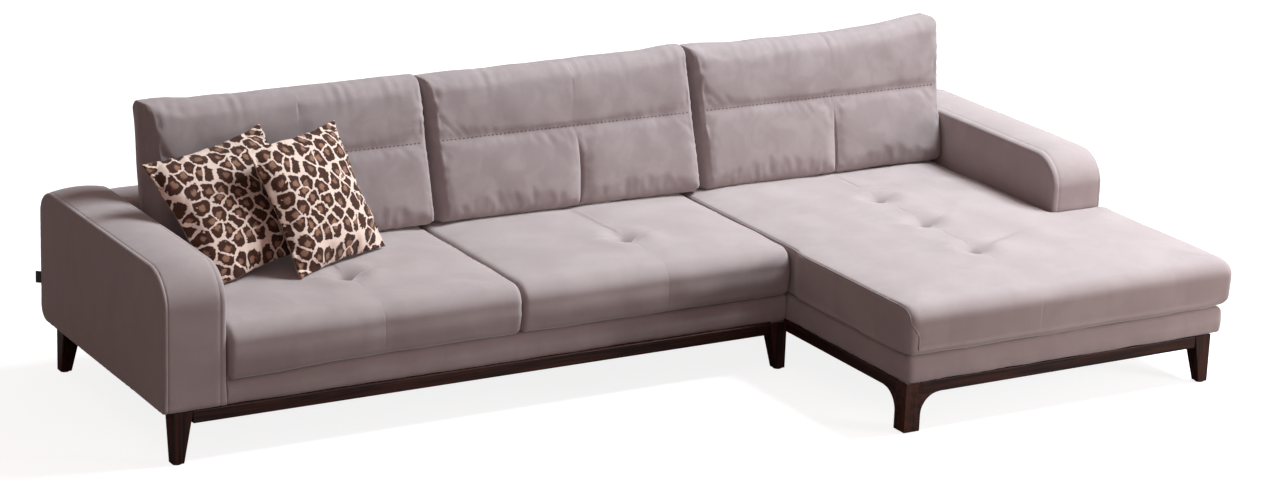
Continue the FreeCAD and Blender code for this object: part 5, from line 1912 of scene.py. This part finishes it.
@dataclass
class BackCushion(SewnPiece):
    """One loose back cushion with a stitched line and a soft channel below it."""

    rises: Place
    channel: float
    sway: float = 0.014
    lean: float = 0.24008
    foot: float = 0.4632
    low: float = 0.4198
    shoulder: float = 0.565
    stitch: float = 0.685
    top: float = 0.875
    thick_top: float = 0.114
    thick_low: float = 0.200
    crest: float = 0.012
    bulge: float = 0.010
    side_roll: float = 0.015
    seam_in: float = 0.005
    left_in: Place = (0.044, 0.020)
    right_in: Place = (-0.008, 0.012)
    rear_in: float = 0.036

    def plane(self, height: Points) -> Points:
        """Depth of the flat front at a height."""
        return self.foot + (height - 0.4195) * self.lean

    def build(self, finishes: Finishes, seed: int) -> None:
        """Make the cushion and dress it.

        Args:
            finishes: The sofa's materials.
            seed: Picks its folds.
        """
        rear_low = 0.6219 + (self.low - 0.25) * self.lean
        front_top = float(self.plane(self.top))
        outline = Outline.four_sided(
            ((self.foot, self.low, 0.028), (rear_low, self.low, 0.024),
             (front_top + self.thick_top, self.top, 0.040), (front_top, self.top, 0.032)),
            (even(0, 1, 0.010 / self.thick_top), even(0, 1, 0.0095 / (self.top - self.low))),
            (0.0, 0.006, 0.0, 0.0))
        inner = lines_with_seams(self.left + 0.018, self.right - 0.018, 0.0095, (self.channel,))
        skin = self.wrapped(outline, inner, self.roll, self.roll)
        skin.lift(self.filled)
        skin.points = self.drawn(skin.points)
        skin.settle(self.held(skin), 1.15, 0.009, 0.0045)
        for number, line in enumerate(self.side_seams()):
            skin.pucker(line, 0.0019, 0.030, 0.026, seed + 3 * number)
            skin.seam(line, 0.0022, 0.0034)
        across = np.linspace(self.left + 0.02, self.right - 0.02, 80)
        top_seam = line_of(across, self.plane(self.top) + 0.008,
                           self.top + self.rise(across) + 0.001)
        skin.pucker(self.drawn(top_seam), 0.0020, 0.045, 0.036, seed + 8)
        foot_seam = line_of(across, self.foot + 0.004, self.low + 0.012)
        skin.pucker(self.drawn(foot_seam), 0.0021, 0.042, 0.034, seed + 9)
        row = self.stitch_row()
        skin.pucker(row, 0.0008, 0.020, 0.017, seed + 12)
        skin.seam(row, 0.0013, 0.0050)
        skin.waver(0.0019, 0.17, seed + 20)
        piece = self.sew(skin, finishes.back_nap, 0.7, self.node)
        Stitching(length=0.0085, gap=0.0065, radius=0.0012).lay(
            self.name + "_stitches", piece, [row], finishes.thread, self.node)

    def roll(self, loop: Points) -> Points:
        """Radius of the side edges, tighter at the top corners."""
        return self.side_roll - 0.007 * smooth_step(self.top - 0.05, self.top - 0.01, loop[:, 1])

    def rise(self, across: Points) -> Points:
        """How much higher the top is towards the corners."""
        share = span_share(self.left, self.right, across)
        return np.where(share < 0.5, *self.rises) * (2 * share - 1) ** 2

    def drawn(self, points: Points) -> Points:
        """Draw each side in to its front seam and to the rear, and sway the channel.

        Args:
            points: Places on a cushion with straight sides.

        Returns:
            The places on the sewn cushion.
        """
        x, y, z = points.T
        up = span_share(self.low, self.top, z)
        thick = self.thick_low + (self.thick_top - self.thick_low) * span_share(
            self.shoulder, self.top, z)
        through = np.clip((y - self.plane(z)) / thick, 0, 1)
        ends = np.where(points[:, :1] < self.middle, self.left_in, self.right_in)
        front = ends[:, 0] + (ends[:, 1] - ends[:, 0]) * up
        inset = front * np.clip(1 - through / 0.45, 0, 1) ** 1.5
        inset = inset + self.rear_in * (1 - up ** 2) * np.clip((through - 0.45) / 0.55, 0, 1) ** 1.6
        moved = points.copy()
        moved[:, 0] = self.middle + (x - self.middle) * (1 - inset / (self.width / 2))
        lower = span_share(self.low, self.stitch, z)
        moved[:, 0] += self.sway * np.sin(np.pi * lower) * bell(x - self.channel, 0.09)
        return moved

    def side_seams(self) -> list[Points]:
        """Seams between the front panel and both side panels.

        Returns:
            The left and the right seam.
        """
        heights = np.linspace(self.low + 0.02, self.top - 0.02, 60)
        return [self.drawn(line_of(side, self.plane(heights) + 0.004,
                                   heights + self.rise(side) * 0.5))
                for side in (self.left + self.seam_in, self.right - self.seam_in)]

    def stitch_row(self) -> Points:
        """The stitched line across the front."""
        across = np.linspace(self.left + 0.014, self.right - 0.014, 90)
        return self.drawn(line_of(across, self.plane(self.stitch) - 0.002, self.stitch))

    def held(self, skin: Skin) -> Points:
        """How firmly the cloth is held as it settles: at seams and where it meets a neighbour.

        Args:
            skin: The filled skin.

        Returns:
            From 0, free, to 1, held, at each point.
        """
        normals = skin.normals()
        height = skin.points[:, 2]
        heights = np.linspace(self.low, self.stitch, 12)
        channel = self.drawn(line_of(self.channel, self.plane(heights), heights))
        firm = np.zeros(len(height))
        for line in (*self.side_seams(), self.stitch_row(), channel):
            gap, _ = nearest_on_line(skin.points, line)
            firm = np.maximum(firm, 1 - smooth_step(0.004, 0.016, gap))
        for facing, above in (
                (smooth_step(0.55, 0.75, np.abs(normals[:, 0])), 0),
                (smooth_step(0.3, 0.6, -normals[:, 2]), smooth_step(0.45, 0.5, height)),
                (smooth_step(0.3, 0.6, normals[:, 1]), smooth_step(0.60, 0.66, height))):
            firm = np.maximum(firm, facing * (1 - above))
        return firm

    def filled(self, points: Points, normals: Points) -> Points:
        """The filling's fullness in both front panels, at the crest and the back.

        Args:
            points: The cushion's points.
            normals: Their directions.

        Returns:
            How far each point moves.
        """
        x, y, z = points.T
        across = np.sin(np.pi * span_share(self.left, self.right, x))
        across = np.clip(across, 0, 1) ** 0.35
        facing = smooth_step(0.35, 0.9, -normals[:, 1])
        lower = span_share(self.low, self.stitch, z)
        upper = span_share(self.stitch, self.top, z)
        full = np.where(z < self.stitch, np.sin(np.pi * lower), 0.8 * np.sin(np.pi * upper))
        out = facing * (self.bulge * (0.2 + 0.8 * full) * (0.35 + 0.65 * across) - 0.002)
        off = x - self.channel
        channel = bell(off, 0.034) * 0.005 + bell(off, 0.0030) * 0.0085
        out = out - (facing * channel * smooth_step(0.92, 0.45, lower)
                     * smooth_step(0.0, 0.08, lower))
        tilt = math.atan(self.lean)
        move = np.zeros_like(points)
        move += np.array((0.0, -math.cos(tilt), math.sin(tilt))) * out[:, None]
        behind = smooth_step(0.5, 0.9, normals[:, 1]) * smooth_step(self.shoulder, 0.62, z)
        arch = np.sin(np.pi * span_share(self.shoulder, self.top, z))
        move[:, 1] += behind * 0.010 * arch * across
        move[:, 2] += smooth_step(0.62, self.top, z) * self.rise(x)
        crest = smooth_step(0.4, 0.95, normals[:, 2]) * smooth_step(self.top - 0.03, self.top, z)
        thick = np.clip((y - self.plane(z)) / self.thick_top, 0, 1)
        move[:, 2] += crest * self.crest * np.sin(np.pi * thick) * (0.45 + 0.55 * across)
        return move


@dataclass
class ScatterPillow:
    """A knife-edged pillow in printed plush.

    Attributes:
        name: The piece's name.
        node: The CAD node that it stands for, and the body that it moves with.
        turn: Its turn about the upright axis, in degrees.
        lean: How far it leans back, in degrees.
        twist: How far it is turned in its own plane, in degrees.
        left_out: How much wider it is to the left.
        corner_up: How much its upper left corner is drawn up.
    """

    name: str
    node: str
    turn: float
    lean: float
    twist: float
    left_out: float = 0.0
    corner_up: float = 0.0
    side: float = 0.430
    half: float = 0.052
    edge: float = 0.0022
    draw: float = 0.014
    count: int = 56

    def placed(self, points: Points) -> Points:
        """Turn and lean the pillow, and move it to its node.

        Args:
            points: Places in the pillow's own space.

        Returns:
            The same places on the sofa.
        """
        turned = Matrix.Rotation(math.radians(self.turn), 4, "Z")
        turned = turned @ Matrix.Rotation(math.radians(-self.lean), 4, "X")
        turned = turned @ Matrix.Rotation(math.radians(-self.twist), 4, "Y")
        low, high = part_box(self.node)
        return points @ np.array(turned.to_3x3()).T + (np.array(low) + np.array(high)) / 2

    def build(self, finishes: Finishes, seed: int) -> None:
        """Make the pillow and dress it.

        Args:
            finishes: The sofa's materials.
            seed: Picks its folds.
        """
        count = self.count
        step = (np.sin(np.linspace(-math.pi / 2, math.pi / 2, count + 1)) * 0.35
                + np.linspace(-1, 1, count + 1) * 0.65)
        across, up = np.meshgrid(step, step, indexing="ij")
        to_left, to_top = (1 - across) / 2, (1 + up) / 2
        width = across * (self.side / 2 - self.draw * np.cos(np.pi * up / 2))
        width = width - to_left ** 1.5 * self.left_out
        height = up * (self.side / 2 - self.draw * np.cos(np.pi * across / 2))
        height = height + (to_left * to_top) ** 3 * self.corner_up
        loft = np.clip((1 - across ** 2) * (1 - up ** 2), 0, 1) ** 0.62
        thick = self.edge + (self.half - self.edge) * loft
        sides = [np.stack((width, out, height), -1).reshape(-1, 3) for out in (-thick, thick)]
        index = np.arange((count + 1) ** 2).reshape(count + 1, count + 1)
        total = index.size
        faces = []
        for quad in grid_quads(index):
            faces += [quad, moved_on(quad[::-1], total)]
        border = border_cells(count, count)
        ring = [int(index[cell]) for cell in border]
        for here, there in zip(ring, ring[1:] + ring[:1]):
            faces.append((there, here, here + total, there + total))
        skin = Skin(np.vstack(sides), faces)
        edge = np.array([(width[cell], 0.0, height[cell]) for cell in border])
        gap, _ = nearest_on_line(skin.points, edge, closed=True)
        skin.settle(1 - smooth_step(0.004, 0.014, gap), 4.0, 0.03, 0.008)
        skin.pucker(edge, 0.0030, 0.040, 0.034, seed, closed=True)
        skin.waver(0.0022, 0.11, seed + 6)
        piece = new_object(self.name, self.placed(skin.points), skin.faces, finishes.plush)
        cloth = np.stack((width, height), -1).reshape(-1, 2)
        cloth = np.vstack((cloth, cloth + 0.6))
        layer = piece.data.uv_layers.new(name="cloth")
        for loop in piece.data.loops:
            layer.data[loop.index].uv = cloth[loop.vertex_index]
        declare(piece, self.node, [self.node])


@dataclass
class Bands:
    """Upholstered bands round the foot of the seat boxes."""

    low: float = 0.162
    high: float = 0.2497
    thick: float = 0.030
    round: float = 0.0175
    droop: float = 0.014
    left: float = -1.5015
    right: float = 0.4505
    front: float = -0.1575
    corner: float = 0.024
    chaise_path: tuple[Place, ...] = (
        (0.453, 0.6205), (0.453, -0.8405), (1.694, -0.8405), (1.694, -0.1665))

    def strip(self, length: float, seed: int) -> Skin:
        """A straight padded strip with the small folds of pulled fabric.

        Args:
            length: Its length along x, from 0.
            seed: Picks its folds.

        Returns:
            The strip, its outer face at y 0.
        """
        outline = Outline.four_sided(
            ((0.0, self.low, 0.010), (self.thick, self.low, 0.004),
             (self.thick, self.high, 0.006), (0.0, self.high, self.round + 0.004)),
            (even(0, 1, 0.2), even(0, 1, 0.1)), (0.0, 0.0, 0.0, 0.0025))
        rings = np.concatenate(([0.0], even(0.006, length - 0.006, 0.011), [length]))
        tight = same_roll(0.0035)
        skin = Skin(*PaddedForm(outline, rings, tight, tight, roll_steps=3).build())
        foot = polyline([(end, 0.0, self.low + 0.006) for end in (0, length)], 0.2)
        skin.pucker(foot, 0.0008, 0.028, 0.045, seed)
        skin.waver(0.0010, 0.15, seed + 4)
        return skin

    def build(self, finishes: Finishes) -> None:
        """Make the sofa's band and the chaise's band.

        Args:
            finishes: The sofa's materials.
        """
        skin = self.strip(self.right - self.left, 71)
        skin.points = skin.points + np.array((self.left, self.front, 0))
        hang = smooth_step(0.20, 0.2485, skin.points[:, 2])
        skin.points[:, 2] -= corner_droop(skin.points[:, 0], self.left, self.droop) * hang
        self.sew(skin, "sofa_front_band_cover", ["sofa_front_band"], finishes)
        spine = self.chaise_spine()
        total = float(run_lengths(spine)[-1])
        skin = self.strip(total, 83)
        along = np.clip(skin.points[:, 0], 0, total)
        ahead = unit(walk(spine, along + 0.001) - walk(spine, along - 0.001))
        inward = np.stack((-ahead[:, 1], ahead[:, 0]), 1)
        bent = walk(spine, along) + inward * skin.points[:, 1:2]
        skin.points = np.column_stack((bent, skin.points[:, 2]))
        self.sew(skin, "chaise_band_cover",
                 ["chaise_band_left", "chaise_band_front", "chaise_band_right"], finishes)

    @staticmethod
    def sew(skin: Skin, name: str, nodes: Sequence[str], finishes: Finishes) -> None:
        """Turn a band's skin into a piece and register it."""
        piece = new_object(name, skin.points, skin.faces, finishes.nap)
        declare(piece, "frame", nodes)

    def chaise_spine(self) -> Points:
        """Line round the chaise from the seat to the right arm, with rounded corners.

        Returns:
            The line in plan.
        """
        path = [np.array(place) for place in self.chaise_path]
        spine = [path[0]]
        for before, here, after in zip(path, path[1:], path[2:]):
            came, goes = unit(here - before), unit(after - here)
            for angle in np.linspace(0, 1, 9) * math.pi / 2:
                spine.append(here - came * self.corner + goes * self.corner * (1 - math.cos(angle))
                             + came * self.corner * math.sin(angle))
        return np.array(spine + [path[-1]])


@dataclass
class UnderCloth:
    """The black cloth under one box.

    Attributes:
        name: The piece's name.
        node: The CAD node that it stands for.
        held_by: The node that it is fastened to; not used.
    """

    name: str
    node: str
    held_by: str

    def build(self, finishes: Finishes, seed: int) -> None:
        """Stretch the cloth under its box.

        Args:
            finishes: The sofa's materials.
            seed: Picks its folds.
        """
        low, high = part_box(self.node)
        across, along = even(low[0], high[0], 0.02), even(low[1], high[1], 0.02)
        grid_x, grid_y = np.meshgrid(across, along, indexing="ij")
        edge = np.minimum.reduce((grid_x - low[0], high[0] - grid_x,
                                  grid_y - low[1], high[1] - grid_y)).ravel()
        place = np.column_stack((grid_x.ravel(), grid_y.ravel()))
        fold = 0.0008 * soft_field(place, 0.05, seed) * np.exp(-edge / 0.05)
        height = high[2] - 0.0006 - 0.0035 * plumped(edge, 0.18) + fold - 0.0008
        points = np.vstack([np.column_stack((place, height + up)) for up in (0.0, 0.0009)])
        index = np.arange(grid_x.size).reshape(grid_x.shape)
        total = index.size
        faces = []
        for quad in grid_quads(index):
            faces += [moved_on(quad, total), quad[::-1]]
        border = [int(index[cell]) for cell in border_cells(len(across) - 1, len(along) - 1)]
        for here, there in zip(border, border[1:] + border[:1]):
            faces.append((here, there, there + total, here + total))
        piece = new_object(self.name, points, faces, finishes.lining)
        declare(piece, "frame", [self.node])


@dataclass
class SideTab:
    """The small folded tab in the left arm's back seam, left bare.

    Attributes:
        node: The CAD node that it stands for.
        slant: How far it is turned outwards, in radians.
        root: How far its root stands from the node in x, y and z.
        turn: Radius of its fold.
        half: Half its thickness.
    """

    node: str = "side_tab"
    slant: float = 0.90
    root: Spot = (-0.0273, -0.0035, -0.010)
    turn: float = 0.0011
    half: float = 0.0003

    def spine(self, reach: float) -> Points:
        """Line of the folded tape in plan, out and back.

        Args:
            reach: How far the fold stands out.

        Returns:
            The line.
        """
        turn, far = self.turn, reach - self.turn
        path = [(-turn, 0.0), (-turn * 1.1, reach * 0.4), (-turn, far)]
        path += [(-turn * math.cos(a), far + turn * math.sin(a))
                 for a in np.linspace(0.4, math.pi - 0.4, 6)]
        return np.array(path + [(turn, far), (turn * 1.1, reach * 0.4), (turn, 0.0)])

    def build(self, finishes: Finishes) -> None:
        """Fold a strip of tape into a loop and sew it in.

        Args:
            finishes: The sofa's materials.
        """
        low, high = (np.array(corner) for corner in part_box(self.node))
        spine = self.spine(high[1] - low[1])
        ahead = unit(np.gradient(spine, axis=0))
        side = np.stack((ahead[:, 1], -ahead[:, 0]), 1)
        slant = np.array(((math.cos(self.slant), math.sin(self.slant)),
                          (-math.sin(self.slant), math.cos(self.slant))))
        root = np.array(((low[0] + high[0]) / 2 + self.root[0], low[1] + self.root[1]))
        rows = [line_of(*(root + (spine + side * shift) @ slant).T, height + self.root[2])
                for height in np.linspace(low[2], high[2], 9) for shift in (-self.half, self.half)]
        count, levels = len(spine), len(rows) // 2

        def at(level: int, layer: int, n: int) -> int:
            """Number of a point."""
            return (level * 2 + layer) * count + n

        faces = []
        for a in range(levels - 1):
            b = a + 1
            for n in range(count - 1):
                faces.append((at(a, 0, n), at(b, 0, n), at(b, 0, n + 1), at(a, 0, n + 1)))
                faces.append((at(a, 1, n), at(a, 1, n + 1), at(b, 1, n + 1), at(b, 1, n)))
            for n in (0, count - 1):
                faces.append((at(a, 0, n), at(a, 1, n), at(b, 1, n), at(b, 0, n)))
        for a in (0, levels - 1):
            for n in range(count - 1):
                faces.append((at(a, 0, n), at(a, 0, n + 1), at(a, 1, n + 1), at(a, 1, n)))
        piece = new_object("side_tab_loop", np.vstack(rows), faces, finishes.lining)
        declare(piece, "frame", [self.node])


class FrameDressing:
    """Finishes on the CAD parts that keep their own shape."""

    def __init__(self, finishes: Finishes) -> None:
        """Match the starts of the parts' names to their finishes.

        Args:
            finishes: The sofa's materials.
        """
        found = (
            (finishes.plastic, "leg_glides"),
            (finishes.steel, "leg_plates leg_bolts arm_bolts connector_"),
            (finishes.wood_z, "leg_"), (finishes.wood_y, "chaise_side_rail"),
            (finishes.wood_x, "sofa_front_rail chaise_front_rail"),
            (finishes.webbing,
             "sofa_webbing chaise_webbing sofa_back_webbing chaise_back_webbing"),
            (finishes.felt, "sofa_deck chaise_deck"),
            (finishes.plywood, "left_arm_ right_arm_ sofa_back_ribs chaise_back_ribs"),
            (finishes.softwood, "left_arm_spacers right_arm_spacers sofa_ chaise_"))
        self.rules: dict[str, bpy.types.Material] = {
            start: material for material, starts in found for start in starts.split()}

    def build(self) -> None:
        """Put on each part the finish whose rule fits most of its name."""
        for name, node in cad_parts.items():
            fitting = [start for start in self.rules if name.startswith(start)]
            if fitting:
                node.data.materials.clear()
                node.data.materials.append(self.rules[max(fitting, key=len)])
            else:
                LOG.info("%s keeps its plain finish", name)


def main() -> None:
    """Build the studio and every sub-assembly in order."""
    logging.basicConfig(level=logging.INFO, format="%(name)s: %(message)s")
    Studio().build()
    finishes = Finishes()
    FrameDressing(finishes).build()
    for piece, seed in (
            (ArmCover("left_arm_casing", "left_arm_cover", -1.706, -1.5025, True,
                      front_round=0.126), 11),
            (ArmCover("right_arm_casing", "right_arm_cover", 1.4905, 1.694, False,
                      outer_seam=0.0006), 17),
            (BackCover("sofa_back_casing", "sofa_back_cover", -1.5015, 0.4505, (-0.5255,)), 23),
            (BackCover("chaise_back_casing", "chaise_back_cover", 0.4535, 1.4895, ()), 29)):
        piece.build(finishes, seed)
    Bands().build(finishes)
    for piece, seed in (
            (SeatCushion("seat_cushion_left_cover", "seat_cushion_left", -1.5012, -0.5262,
                         droop=0.014), 31),
            (SeatCushion("seat_cushion_middle_cover", "seat_cushion_middle", -0.5248, 0.4503,
                         tuft_aside=0.031), 37),
            (ChaiseCushion("seat_cushion_chaise_cover", "seat_cushion_chaise", 0.4535, 1.4885),
             41),
            (BackCushion("back_cushion_left_cover", "back_cushion_left", -1.46, -0.5053,
                         (0.008, 0.004), -0.950), 47),
            (BackCushion("back_cushion_middle_cover", "back_cushion_middle", -0.5033, 0.4913,
                         (-0.004, 0.012), 0.032), 53),
            (BackCushion("back_cushion_right_cover", "back_cushion_right", 0.4933, 1.488,
                         (0.006, 0.035), 1.044, 0.004, right_in=(0.003, -0.014)), 59),
            (ScatterPillow("scatter_pillow_rear_cover", "scatter_pillow_rear", 12.3, 39.4, 8.4,
                           left_out=0.037, corner_up=0.010), 61),
            (ScatterPillow("scatter_pillow_front_cover", "scatter_pillow_front", 26.3, 29.9,
                           0.2), 67),
            (UnderCloth("sofa_under_cloth", "sofa_dust_cover", "sofa_front_board"), 91),
            (UnderCloth("chaise_under_cloth", "chaise_dust_cover", "chaise_front_board"), 97)):
        piece.build(finishes, seed)
    SideTab().build(finishes)


if __name__ == "__main__":
    main()
